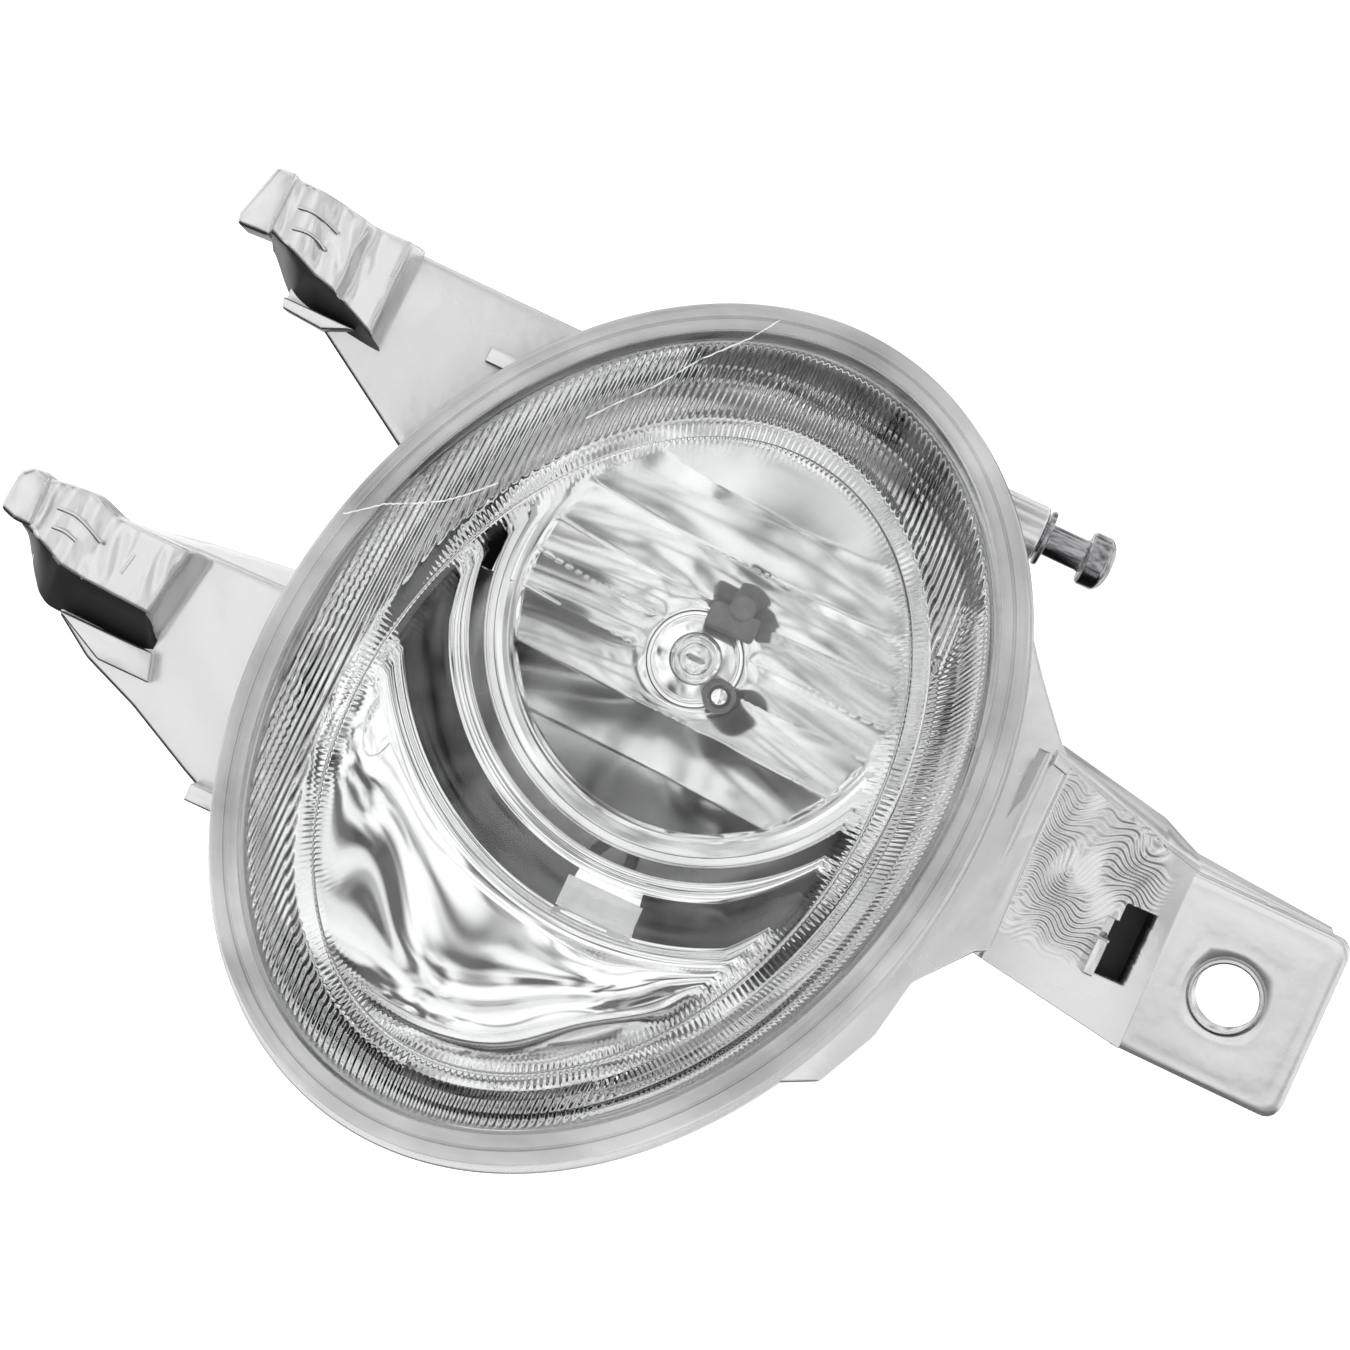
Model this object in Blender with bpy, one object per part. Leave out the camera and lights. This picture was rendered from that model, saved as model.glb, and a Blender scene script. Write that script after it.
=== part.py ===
"""Front fog lamp, in metres, +Z up, -Y along the beam and +X towards the screw tab.

Shapes are written in millimetres in lamp coordinates, whose origin is the centre of the
reflector's mouth. The root empty moves them, so that the world origin is the centre of
the tab's screw hole on its rear seat.
"""
import bmesh
import bpy
from math import cos, hypot, pi, radians, sin
from mathutils import Matrix, Vector

MM = 0.001
GAP = 0.3                      # kept between neighbouring pieces

# Lens rim: an oval that leans to the right at the top, on a plane raked up and to the left
OVAL_LEAN = radians(15)
RIM_CENTRE = (-8.0, -18.0)
RIM_A, RIM_B = 75.7, 57.6      # half axes
RAKE_X, RAKE_Z = -0.14, 0.249  # slope of the rim plane
OVAL_SIDES = 48
RIM_THICK = 3.0
LEG_OUT, LEG_IN, LEG_DEEP = 2.1, 4.5, 8.6
WINDOW_CENTRE = (-7.2, -22.2)
WINDOW_A, WINDOW_B = 55.6, 39.4
WINDOW_RISE, DOME_RISE = 12.0, 5.8

# Housing
FLANGE_CENTRE = (-7.4, -18.8)
FLANGE_A, FLANGE_B, FLANGE_DEEP = 76.4, 58.4, 12.5
WALL = 2.5
BOWL_IN = 4.2                  # outer skin of the bowl, inside the lens rim's oval
BACK_Y, BACK_R = 66.0, 41.0
NECK_R, NECK_END, NECK_WALL = 31.5, 84.0, 3.0

# Reflector, bezel and bulb
BULB = (-1.2, -4.0)            # bulb axis, x and z
MOUTH_R, LIP_R, LIP_Y = 33.5, 38.6, 28.2
VERTEX_R, VERTEX_Y = 8.5, 56.0
SEAT_Y = 58.6                  # rear face of the bulb seat
BEZEL_R, BEZEL_Y, BEZEL_THICK = 40.6, 24.0, 1.6
PIVOT_Y, PIVOT_Z = 34.0, 0.0
CLIP_HINGE = (61.2, BULB[1] + 15.0)
CLIP_REACH, CLIP_HALF, CLIP_WIRE = 28.5, 8.5, 0.7

# Aim adjuster
ADJ_Y, ADJ_Z = 37.4, 39.8
ADJ_R, ADJ_HEAD_R, ADJ_BOSS_R = 2.8, 4.75, 5.1
NUT_X, NUT_HALF, NUT_TRAVEL = 0.0, 9.6, 6.0
DRIVE_PIN = (NUT_X, 48.0)
SLOT_SLOPE = 40.0 * sin(radians(3)) / NUT_TRAVEL

# Screw tab: its plane leans left and down from the beam
TAB_HOLE = (98.0, -1.5, -17.3)
TAB_TURN, TAB_DIP = radians(14), radians(12)
TAB_THICK, TAB_HOLE_R = 3.2, 6.5

COLOURS = {
    "silver": ((0.72, 0.72, 0.72), 0.35, 0.3),
    "glass": ((0.85, 0.87, 0.88), 0.05, 0.0),
    "chrome": ((0.9, 0.9, 0.9), 0.08, 1.0),
    "steel": ((0.45, 0.45, 0.46), 0.3, 1.0),
    "brass": ((0.75, 0.62, 0.36), 0.3, 1.0),
    "black": ((0.03, 0.03, 0.03), 0.6, 0.0),
    "white": ((0.85, 0.84, 0.8), 0.5, 0.0),
}


def start():
    for old in list(bpy.data.objects):
        bpy.data.objects.remove(old, do_unlink=True)
    for name, (colour, rough, metal) in COLOURS.items():
        material = bpy.data.materials.new(name)
        material.use_nodes = True
        shader = material.node_tree.nodes["Principled BSDF"]
        shader.inputs["Base Color"].default_value = (*colour, 1)
        shader.inputs["Roughness"].default_value = rough
        shader.inputs["Metallic"].default_value = metal
    root = bpy.data.objects.new("lamp_root", None)
    bpy.context.scene.collection.objects.link(root)
    seat = tab_point(0, TAB_THICK, 0)
    root.location = -seat * MM
    return root


# ---------------------------------------------------------------- basic builders
def finish_mesh(name, bm, material, pivot=(0, 0, 0)):
    """Turn a bmesh in millimetres into an object in metres whose origin is the pivot."""
    bmesh.ops.remove_doubles(bm, verts=bm.verts, dist=0.001)
    bmesh.ops.recalc_face_normals(bm, faces=bm.faces)
    bmesh.ops.translate(bm, verts=bm.verts, vec=-Vector(pivot))
    bmesh.ops.scale(bm, verts=bm.verts, vec=(MM, MM, MM))
    mesh = bpy.data.meshes.new(name)
    bm.to_mesh(mesh)
    bm.free()
    obj = bpy.data.objects.new(name, mesh)
    obj.location = Vector(pivot) * MM
    obj.parent = ROOT
    bpy.context.scene.collection.objects.link(obj)
    if material:
        mesh.materials.append(bpy.data.materials[material])
        mesh.shade_smooth()
        mesh.set_sharp_from_angle(angle=radians(35))
    return obj


def skin(bm, rings, closed=False):
    """Bridge rings of equal length; cap both ends, or join the last ring to the first."""
    made = [[bm.verts.new(p) for p in ring] for ring in rings]
    pairs = list(zip(made, made[1:]))
    if closed:
        pairs.append((made[-1], made[0]))
    for one, two in pairs:
        for i in range(len(one)):
            j = (i + 1) % len(one)
            bm.faces.new((one[i], one[j], two[j], two[i]))
    if not closed:
        bm.faces.new(made[0])
        bm.faces.new(made[-1])


def loft(name, rings, material=None, closed=False, pivot=(0, 0, 0)):
    bm = bmesh.new()
    skin(bm, rings, closed)
    return finish_mesh(name, bm, material, pivot)


def turn(name, profile, centre, material=None, axis="Y", sides=32, closed=True, pivot=(0, 0, 0)):
    """Revolve (radius, along) points about an axis through centre; closed makes a ring."""
    def ring(r, along):
        points = []
        for i in range(sides):
            a = 2 * pi * (i + 0.5) / sides
            p = {"X": (along, r * cos(a), r * sin(a)),
                 "Y": (r * cos(a), along, r * sin(a)),
                 "Z": (r * cos(a), r * sin(a), along)}[axis]
            points.append(Vector(p) + Vector(centre))
        return points
    return loft(name, [ring(r, along) for r, along in profile], material, closed, pivot)


def rod(name, radius, start, length, centre, axis, material=None, sides=24, pivot=(0, 0, 0)):
    return turn(name, [(radius, start), (radius, start + length)], centre, material, axis,
                sides, closed=False, pivot=pivot)


def box(name, low, high, material=None, pivot=(0, 0, 0)):
    (x0, y0, z0), (x1, y1, z1) = low, high
    rings = [[(x0, y, z0), (x1, y, z0), (x1, y, z1), (x0, y, z1)] for y in (y0, y1)]
    return loft(name, rings, material, pivot=pivot)


def plate(name, front, front_y, back_y, back=None):
    """A plate facing the beam; front and back are x,z outlines, and y may be a function."""
    def at(outline, y):
        return [(x, y(x, z) if callable(y) else y, z) for x, z in outline]
    return loft(name, [at(front, front_y), at(back or front, back_y)])


def wire(name, points, radius, material, sides=1, pivot=(0, 0, 0)):
    """A round wire through the points, smoothed by a few rounds of corner cutting."""
    path = [Vector(p) for p in points]
    for _ in range(2):
        cut = [path[0]]
        for one, two in zip(path, path[1:]):
            cut += [one.lerp(two, 0.25), one.lerp(two, 0.75)]
        path = cut + [path[-1]]
    curve = bpy.data.curves.new(name, "CURVE")
    curve.dimensions = "3D"
    curve.bevel_depth = radius * MM
    curve.bevel_resolution = sides
    curve.use_fill_caps = True
    line = curve.splines.new("POLY")
    line.points.add(len(path) - 1)
    for point, p in zip(line.points, path):
        point.co = (*((p - Vector(pivot)) * MM), 1)
    curve.materials.append(bpy.data.materials[material])
    obj = bpy.data.objects.new(name, curve)
    obj.location = Vector(pivot) * MM
    obj.parent = ROOT
    bpy.context.scene.collection.objects.link(obj)
    return obj


def combine(obj, operation, tools):
    """One Boolean with a group of hidden tool solids."""
    group = bpy.data.collections.new(obj.name + "_" + operation.lower())
    for tool in tools:
        tool.hide_render = True
        tool.display_type = "WIRE"
        group.objects.link(tool)
    step = obj.modifiers.new(operation.title(), "BOOLEAN")
    step.operation = operation
    step.operand_type = "COLLECTION"
    step.collection = group


# ---------------------------------------------------------------- shared curves
def rim_y(x, z):
    return RAKE_X * (x - RIM_CENTRE[0]) + RAKE_Z * (z - RIM_CENTRE[1])


def oval_point(i, a, b, centre):
    t = 2 * pi * i / OVAL_SIDES
    along, across = a * cos(t), b * sin(t)
    x = centre[0] + along * sin(OVAL_LEAN) - across * cos(OVAL_LEAN)
    z = centre[1] + along * cos(OVAL_LEAN) + across * sin(OVAL_LEAN)
    return x, z


def oval(inset, off, a=RIM_A, b=RIM_B, centre=RIM_CENTRE, scale=1.0):
    """A ring like the lens rim, inset from it and set back from the rim plane by off."""
    points = [oval_point(i, (a - inset) * scale, (b - inset) * scale, centre)
              for i in range(OVAL_SIDES)]
    return [Vector((x, rim_y(x, z) + off, z)) for x, z in points]


def circle(r, y, centre=(0, 0)):
    points = [oval_point(i, r, r, centre) for i in range(OVAL_SIDES)]
    return [Vector((x, y, z)) for x, z in points]


def sweep(one, two, portion):
    """A ring between two rings, going back first and then inwards, like a bowl."""
    angle = portion * pi / 2
    return [Vector((p.x + (q.x - p.x) * (1 - cos(angle)), p.y + (q.y - p.y) * sin(angle),
                    p.z + (q.z - p.z) * (1 - cos(angle)))) for p, q in zip(one, two)]


def mouth_y(r):
    """Depth of the reflector's paraboloid at radius r."""
    share = (r * r - VERTEX_R ** 2) / (MOUTH_R ** 2 - VERTEX_R ** 2)
    return VERTEX_Y + (LIP_Y + GAP - VERTEX_Y) * share


def dish(r, y, sides=36):
    """A reflector ring, whose centre moves from the mouth's centre to the bulb axis."""
    share = min(max((y - LIP_Y) / (VERTEX_Y - LIP_Y), 0), 1)
    return [Vector((BULB[0] * share + r * cos(2 * pi * i / sides), y,
                    BULB[1] * share + r * sin(2 * pi * i / sides))) for i in range(sides)]


def tab_frame():
    front = Vector((-sin(TAB_TURN) * cos(TAB_DIP), -cos(TAB_TURN) * cos(TAB_DIP), -sin(TAB_DIP)))
    right = Vector((cos(TAB_TURN), -sin(TAB_TURN), 0))
    return Matrix((right, -front, front.cross(right))).transposed()


def tab_point(x, y, z):
    """A point of the tab: x along it, y back from its front face, z up it."""
    return Vector(TAB_HOLE) + tab_frame() @ Vector((x, y, z))


# ---------------------------------------------------------------- housing
def bowl_rings(skin_in):
    """Rings of the bowl behind the flange, skin_in inside its outer skin."""
    bowl = oval(BOWL_IN + skin_in, FLANGE_DEEP)
    back = circle(BACK_R - skin_in, BACK_Y - skin_in, BULB)
    return [sweep(bowl, back, k / 6) for k in range(7)]


def housing_outer():
    flange = dict(a=FLANGE_A, b=FLANGE_B, centre=FLANGE_CENTRE)
    rings = [oval(0, RIM_THICK + GAP, **flange), oval(0, FLANGE_DEEP, **flange)]
    rings += bowl_rings(0)
    rings += [circle(NECK_R, BACK_Y, BULB), circle(NECK_R, NECK_END, BULB)]
    return loft("housing", rings, "silver")


def housing_cavity():
    rings = [oval(BOWL_IN + WALL, -2)] + bowl_rings(WALL)
    rings += [circle(NECK_R - NECK_WALL, BACK_Y - WALL, BULB),
              circle(NECK_R - NECK_WALL, NECK_END + 2, BULB)]
    return loft("cavity", rings)


def lens_channel():
    low, deep = -2, FLANGE_DEEP - 2.2
    outer, inner = LEG_OUT - 2 * GAP, LEG_IN + 2 * GAP
    rings = [oval(outer, low), oval(outer, deep), oval(inner, deep), oval(inner, low)]
    return loft("channel", rings, closed=True)


def arms():
    """Two flat arms, each ending in a raised hook whose lower side is drafted."""
    upper_back = [(-93.5, 39.4), (-86, 39.2), (-76, 38.7), (-76, 20.8), (-81.5, 20.5),
                  (-88.2, 21.1), (-93.5, 28.2)]
    upper_front = [(-93.5, 39.4), (-86, 39.2), (-79.2, 38), (-78.7, 24.4), (-81, 25.5),
                   (-86, 27), (-93.5, 29.9)]
    lower_back = [(-109.5, -22), (-102, -21), (-97, -23), (-80.7, -23), (-82.8, -41.8),
                  (-100.4, -41.4), (-109.5, -31.5)]
    lower_front = [(-109.1, -21.8), (-102, -20.9), (-96.8, -22.8), (-83.6, -22.8),
                   (-85.6, -35), (-98.9, -34.1), (-108.1, -30.4)]
    def upper_front_y(x, z):
        return 20 + 0.12 * (x + 88)
    def upper_back_y(x, z):
        return upper_front_y(x, z) + 3.5
    return [
        plate("upper_arm", [(-30, 37.7), (-88, 37.7), (-88, 20.6), (-80.5, 19.4), (-61.9, 7.7),
                            (-40, -6), (-30, 0)], upper_front_y, upper_back_y),
        plate("upper_hook", upper_front, 10, 21, upper_back),
        plate("upper_step", [(-80.4, 38.3), (-71.4, 38.2), (-72.5, 21.5), (-80.4, 25.2)], 13, 22.8,
              [(-80.4, 38.3), (-70.4, 38.2), (-70.4, 20), (-80.4, 20)]),
        plate("upper_tip", [(-98.9, 28.6), (-99.4, 30.1), (-96.8, 39.8), (-92, 40.1),
                            (-93, 28.9)], 9, 20.5),
        plate("upper_ledge", [(-88, 21.4), (-87.4, 19.6), (-80.2, 19.1), (-75.1, 21.4)], 16, 23),
        plate("upper_lug", [(-54, 26), (-54, 28.6), (-46, 28.6), (-46, 26)], 21, 27),
        plate("lower_arm", [(-40, -21.5), (-80.7, -22.6), (-99.8, -24.6), (-100.4, -41.6),
                            (-93.2, -46.4), (-82.8, -50.5), (-70.4, -56.7), (-50, -66),
                            (-40, -60)], 22, 25.5),
        plate("lower_hook", lower_front, 12, 23, lower_back),
        plate("lower_tip", [(-114.8, -29.4), (-114.2, -22.8), (-112.1, -21.1), (-108.6, -21.9),
                            (-108.6, -30.4), (-112.1, -30.4)], 11, 22.5),
        plate("lower_ledge", [(-100, -41), (-82.9, -41), (-81.5, -45.7), (-90.8, -45.7)],
              17.5, 22.5),
        loft("lower_rib", [
            [(-97, 24, -23.4), (-97, 28, -23.2), (-97, 28, -25), (-97, 24, -25.6)],
            [(-84, 24, -22.2), (-84, 32, -20.6), (-84, 32, -22.6), (-84, 24, -25)],
            [(-50, 24, -21.5), (-50, 38, -16), (-50, 38, -18.4), (-50, 24, -24)]]),
        plate("lower_lug", [(-68, -60.5), (-68, -57.5), (-60, -57.5), (-60, -60.5)], 16, 23),
    ]


def tab():
    """Root plate beside the lens, receding web with its pocket, and the flat screw plate."""
    root = [(36, 34), (44.5, 25), (50.5, 17), (57.5, 8.6), (60, 6), (60, -26.5), (58, -27.5),
            (51, -36), (49, -46), (44, -56), (36, -60)]
    def root_front(x, z):
        return rim_y(x, z) + RIM_THICK + 2 * GAP
    def root_back(x, z):
        return root_front(x, z) + 4
    top, bottom = 16.3, -15.2
    web = [[(56, -4.2, 6.3), (56, -4.2, -27.5), (56, 0, -27.5), (56, 0, 6.3)],
           [tab_point(x, y, z) for x, y, z in
            ((-12.5, 0.2, top), (-12.5, 0.2, bottom), (-12.5, 3, bottom), (-12.5, 3, top))]]
    r, right = 2.6, 15.0
    outline = [(-14, bottom), (-14, top), (right - r, top), (right, top - r),
               (right, bottom + r), (right - r, bottom)]
    flat = [[tab_point(x, y, z) for x, z in outline] for y in (0, TAB_THICK)]
    edge = [(57, -4.3, 6.8, 2.4, 20), (80, 1, 1.2, 4.0, 18), (86, 1.6, 0, 2.0, 9),
            (109, -3.8, -0.6, 0.7, 3.2)]
    gusset = [[(x, y, z), (x, y + deep, z + rise), (x, y + deep, z + rise - 2.4), (x, y, z - 2.2)]
              for x, y, z, rise, deep in edge]
    return [plate("tab_root", root, root_front, root_back), loft("tab_web", web),
            loft("tab_plate", flat), loft("tab_gusset", gusset),
            box("slot_pocket", (75.5, 2, -24.5), (85, 14, -8))]


def bayonet_block(k, y, inner, outer):
    """One of three blocks round the neck, for the lugs on it and the hooks in the cap."""
    block = box("bayonet_block", (-4, y, inner), (4, y + 2.2, outer))
    turned = Matrix.Rotation(2 * pi * k / 3, 4, "Y")
    block.data.transform(Matrix.Translation(Vector((BULB[0], 0, BULB[1])) * MM) @ turned)
    return block


def rear_fittings():
    """Connector shell, breather stub and the three bayonet lugs on the neck."""
    parts = [box("socket_shell", (-11, 61, -57.7), (11, 82, -43.3)),
             rod("breather_stub", 3, 58, 12, (-26, 0, -47), "Y", sides=16)]
    for k in range(3):
        parts.append(bayonet_block(k, 71, NECK_R - 1, NECK_R + 2.1))
    return parts


def inner_fittings():
    """Pivot posts and the nut's guide rib, trimmed to the shell, and the adjuster boss."""
    parts = [box("right_post", (41.8, 29.5, -5), (60, 38.5, 5)),
             box("left_post", (-70, 29.5, -5), (-41.8, 38.5, 5)),
             box("guide_rib", (-17, 34, 44.5), (16, 39, 60))]
    for part in parts:
        combine(part, "INTERSECT", [loft("trim", bowl_rings(WALL / 2))])
    parts.append(rod("adjuster_boss", ADJ_BOSS_R, 18.6, 24.3, (0, ADJ_Y, ADJ_Z), "X", sides=20))
    return parts


def bores():
    hole = [[tab_point(TAB_HOLE_R * cos(pi * k / 12), y, TAB_HOLE_R * sin(pi * k / 12))
             for k in range(24)] for y in (-4, 8)]
    slot = [[(x, y, z) for x, z in ((77.5, -22.5), (83, -22.5), (83, -10), (77.5, -10))]
            for y in (-8, 12)]
    return [rod("boss_bore", ADJ_R + GAP, 12, 38, (0, ADJ_Y, ADJ_Z), "X", sides=20),
            rod("right_pin_hole", 1.9, 40, 4.4, (0, PIVOT_Y, PIVOT_Z), "X", sides=16),
            rod("left_pin_hole", 1.9, -44.4, 4.4, (0, PIVOT_Y, PIVOT_Z), "X", sides=16),
            box("socket_pocket", (-9, 69, -56), (9, 90, -45)),
            box("terminal_slot_right", (2.3, 50, -51.1), (5.7, 75, -49.9)),
            box("terminal_slot_left", (-5.7, 50, -51.1), (-2.3, 75, -49.9)),
            rod("breather_bore", 1.5, 50, 25, (-26, 0, -47), "Y", sides=16),
            loft("tab_hole", hole), loft("tab_slot", slot)]


def housing():
    body = housing_outer()
    combine(body, "UNION", arms() + tab() + rear_fittings())
    combine(body, "DIFFERENCE", [housing_cavity(), lens_channel()])
    combine(body, "UNION", inner_fittings())
    combine(body, "DIFFERENCE", bores())


def tab_bush():
    profile = [(5.35, -0.5), (TAB_HOLE_R - GAP, -0.5), (TAB_HOLE_R - GAP, TAB_THICK),
               (5.35, TAB_THICK)]
    rings = [[tab_point(r * cos(pi * k / 12), y, r * sin(pi * k / 12)) for k in range(24)]
             for r, y in profile]
    loft("tab_bush", rings, "steel", closed=True)


# ---------------------------------------------------------------- lens and bezel
def lens():
    """Flat rim with a leg for the channel, sloping skirt and a domed window."""
    window = dict(a=WINDOW_A, b=WINDOW_B, centre=WINDOW_CENTRE)
    near = dict(a=WINDOW_A, b=WINDOW_B, centre=(-7.4, -21.0))
    front = [oval(0, 0), oval(4.5, -0.3), oval(5.3, -1.5),
             oval(-8.5, -6.6, **near), oval(-4.2, -WINDOW_RISE + 1.4, **window),
             oval(0, -WINDOW_RISE, **window)]
    front += [oval(0, -WINDOW_RISE - DOME_RISE * (1 - s * s), scale=s, **window)
              for s in (0.7, 0.4, 0.1)]
    leg = [oval(0, RIM_THICK), oval(LEG_OUT, RIM_THICK), oval(LEG_OUT, LEG_DEEP),
           oval(LEG_IN, LEG_DEEP), oval(LEG_IN, RIM_THICK)]
    thick = 2.6
    back = [oval(7.1, 1.0), oval(-6.6, -4.1, **near),
            oval(-2.6, -WINDOW_RISE + 1.4 + thick, **window),
            oval(1.6, -WINDOW_RISE + thick, **window)]
    back += [oval(1.6, thick - WINDOW_RISE - DOME_RISE * (1 - s * s), scale=s, **window)
             for s in (0.7, 0.4, 0.1)]
    loft("lens", front[::-1] + leg + back, "glass")


def lens_adhesive():
    out, inn = LEG_OUT, LEG_IN
    low, high = LEG_DEEP + GAP, FLANGE_DEEP - 2.2 - GAP
    rings = [oval(out, low), oval(out, high), oval(inn, high), oval(inn, low)]
    loft("lens_adhesive", rings, "black", closed=True)


def bezel():
    """Chromed trim: a bowl from the lens edge to a step, then a cone to the round mouth."""
    def surface(extra, back):
        outer = oval(9.1 - extra, 4.6 + back)
        inner = circle(BEZEL_R + extra, BEZEL_Y + back)
        step = []
        for p, q in zip(outer, inner):
            reach = hypot(p.x - q.x, p.z - q.z)
            share = min(0.5, 9 / max(reach, 1))
            spot = q.lerp(p, share)
            spot.y = q.y - min(6, 0.3 * reach)
            step.append(spot)
        rings = [sweep(outer, step, k / 4) for k in range(5)]
        return rings + [inner]
    front = surface(0, 0)
    back = surface(BEZEL_THICK, BEZEL_THICK)
    lip = [circle(BEZEL_R - 1, BEZEL_Y + 0.4), circle(BEZEL_R - 1, BEZEL_Y + BEZEL_THICK)]
    loft("bezel", front + lip + back[::-1], "chrome", closed=True)


# ---------------------------------------------------------------- reflector
def reflector():
    pivot = (0, PIVOT_Y, PIVOT_Z)
    radii = [VERTEX_R + 5.5 + k * (35.3 - VERTEX_R - 5.5) / 6 for k in range(7)]
    rings = [dish(LIP_R, LIP_Y), dish(LIP_R, LIP_Y + 2)]
    rings += [dish(r, mouth_y(r - 1.4) + 1.6) for r in radii[::-1]]
    rings += [dish(14, SEAT_Y)]
    body = loft("reflector", rings, "chrome", pivot=pivot)
    ears = []
    for side in (-1, 1):
        low, high = sorted((side * 33, side * 40.8))
        ears.append(box("ear_foot", (low, 28.6, -5.5), (high, 30.8, 5.5)))
        low, high = sorted((side * 38.2, side * 40.8))
        ears.append(box("ear", (low, 28.6, -5.5), (high, 39.2, 5.5)))
    clip_y, clip_z = CLIP_HINGE
    ears += [box("drive_block", (NUT_X - 5, 44.6, 14), (NUT_X + 5, 52.5, 36.5)),
             box("clip_lug", (BULB[0] - 4.5, 50, clip_z - 2.5), (BULB[0] + 4.5, 64, clip_z + 2.5)),
             box("clip_catch", (BULB[0] - 3, 54, BULB[1] - 18), (BULB[0] + 3, 63, BULB[1] - 14.5)),
             box("catch_foot", (BULB[0] - 3, 54, BULB[1] - 18), (BULB[0] + 3, 57.5, BULB[1] - 10)),
             box("earth_pad", (BULB[0] + 11, 50, BULB[1] - 12), (BULB[0] + 20, SEAT_Y, BULB[1] - 3))]
    combine(body, "UNION", ears)
    steps = [MOUTH_R + k * (VERTEX_R - MOUTH_R) / 9 for k in range(10)]
    bowl = [dish(MOUTH_R, LIP_Y - 3)] + [dish(r, mouth_y(r)) for r in steps]
    bowl += [dish(VERTEX_R, SEAT_Y + 1)]
    cuts = [loft("bowl_cut", bowl),
            rod("drive_pin_hole", 1.8, 30, 8, (*DRIVE_PIN, 0), "Z", sides=16),
            rod("clip_bore", CLIP_WIRE + GAP, -8, 14, (0, clip_y, clip_z), "X", sides=12),
            rod("earth_hole", 1.5, 52, 8, (BULB[0] + 15.5, 0, BULB[1] - 7.5), "Y", sides=12)]
    for side in (-1, 1):
        low = min(side * 37, side * 42)
        cuts.append(rod("ear_hole", 2.9, low, 5, (0, PIVOT_Y, PIVOT_Z), "X", sides=16))
    combine(body, "DIFFERENCE", cuts)


def pivots():
    """Steel pins fixed in the housing posts, and the bushes that turn on them."""
    for side, word in ((-1, "left"), (1, "right")):
        centre = (0, PIVOT_Y, PIVOT_Z)
        pin = [(2.8, 36.4), (2.8, 37.5), (1.6, 37.5), (1.6, 44.1)]
        bush = [(1.9, 37.9), (2.6, 37.9), (2.6, 41.1), (3.7, 41.1), (3.7, 41.5), (1.9, 41.5)]
        turn("pivot_pin_" + word, [(r, side * x) for r, x in pin], centre, "steel", "X", 16,
             closed=False)
        turn("pivot_bush_" + word, [(r, side * x) for r, x in bush], centre, "white", "X", 16,
             pivot=(side * 40, PIVOT_Y, PIVOT_Z))


# ---------------------------------------------------------------- bulb
def bulb():
    at = (BULB[0], 0, BULB[1])
    tip = [(4.6 * sin(a), 40.6 - 4.6 * cos(a)) for a in (0.25, 0.7, 1.15)]
    inside = [(3.8 * sin(a), 40.6 - 3.8 * cos(a)) for a in (1.15, 0.7, 0.25)]
    glass = tip + [(4.6, 40.6), (4.6, 54), (3.8, 54), (3.8, 40.6)] + inside
    turn("bulb_envelope", glass, at, "glass", sides=20, closed=False)
    x, z = BULB
    wire("bulb_filament", [(x - 1.8, 54.1, z), (x - 1.8, 43, z), (x - 1.3, 42.4, z),
                           (x + 1.3, 42.4, z), (x + 1.8, 43, z), (x + 1.8, 54.1, z)], 0.35, "steel")
    base = [(7.9, 54.4), (7.9, SEAT_Y + GAP), (12, SEAT_Y + GAP), (12, SEAT_Y + 1.5),
            (7, SEAT_Y + 1.5), (7, 63)]
    turn("bulb_base", base, at, "steel", sides=24, closed=False)
    turn("bulb_insulator", [(5.5, 63 + GAP), (5.5, 68), (4.2, 69)], at, "white", sides=20, closed=False)
    box("bulb_terminal", (x - 3.15, 69 + GAP, z - 0.4), (x + 3.15, 78, z + 0.4), "brass")


def bulb_clip():
    """Spring wire: its ends turn in the lug, and the loop bears on the bulb's flange."""
    y, z = CLIP_HINGE
    x, end = BULB[0], z - CLIP_REACH
    side = [(1.4, 0), (CLIP_HALF, 0), (CLIP_HALF, CLIP_REACH - 4), (CLIP_HALF - 3.5, CLIP_REACH)]
    points = [(x - across, y, z - down) for across, down in side]
    points += [(x + across, y, z - down) for across, down in side[::-1]]
    doubled = [points[0], points[1], points[1], *points[2:-2], points[-2], points[-2], points[-1]]
    wire("bulb_clip", doubled, CLIP_WIRE, "steel", pivot=(x, y, z))


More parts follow.
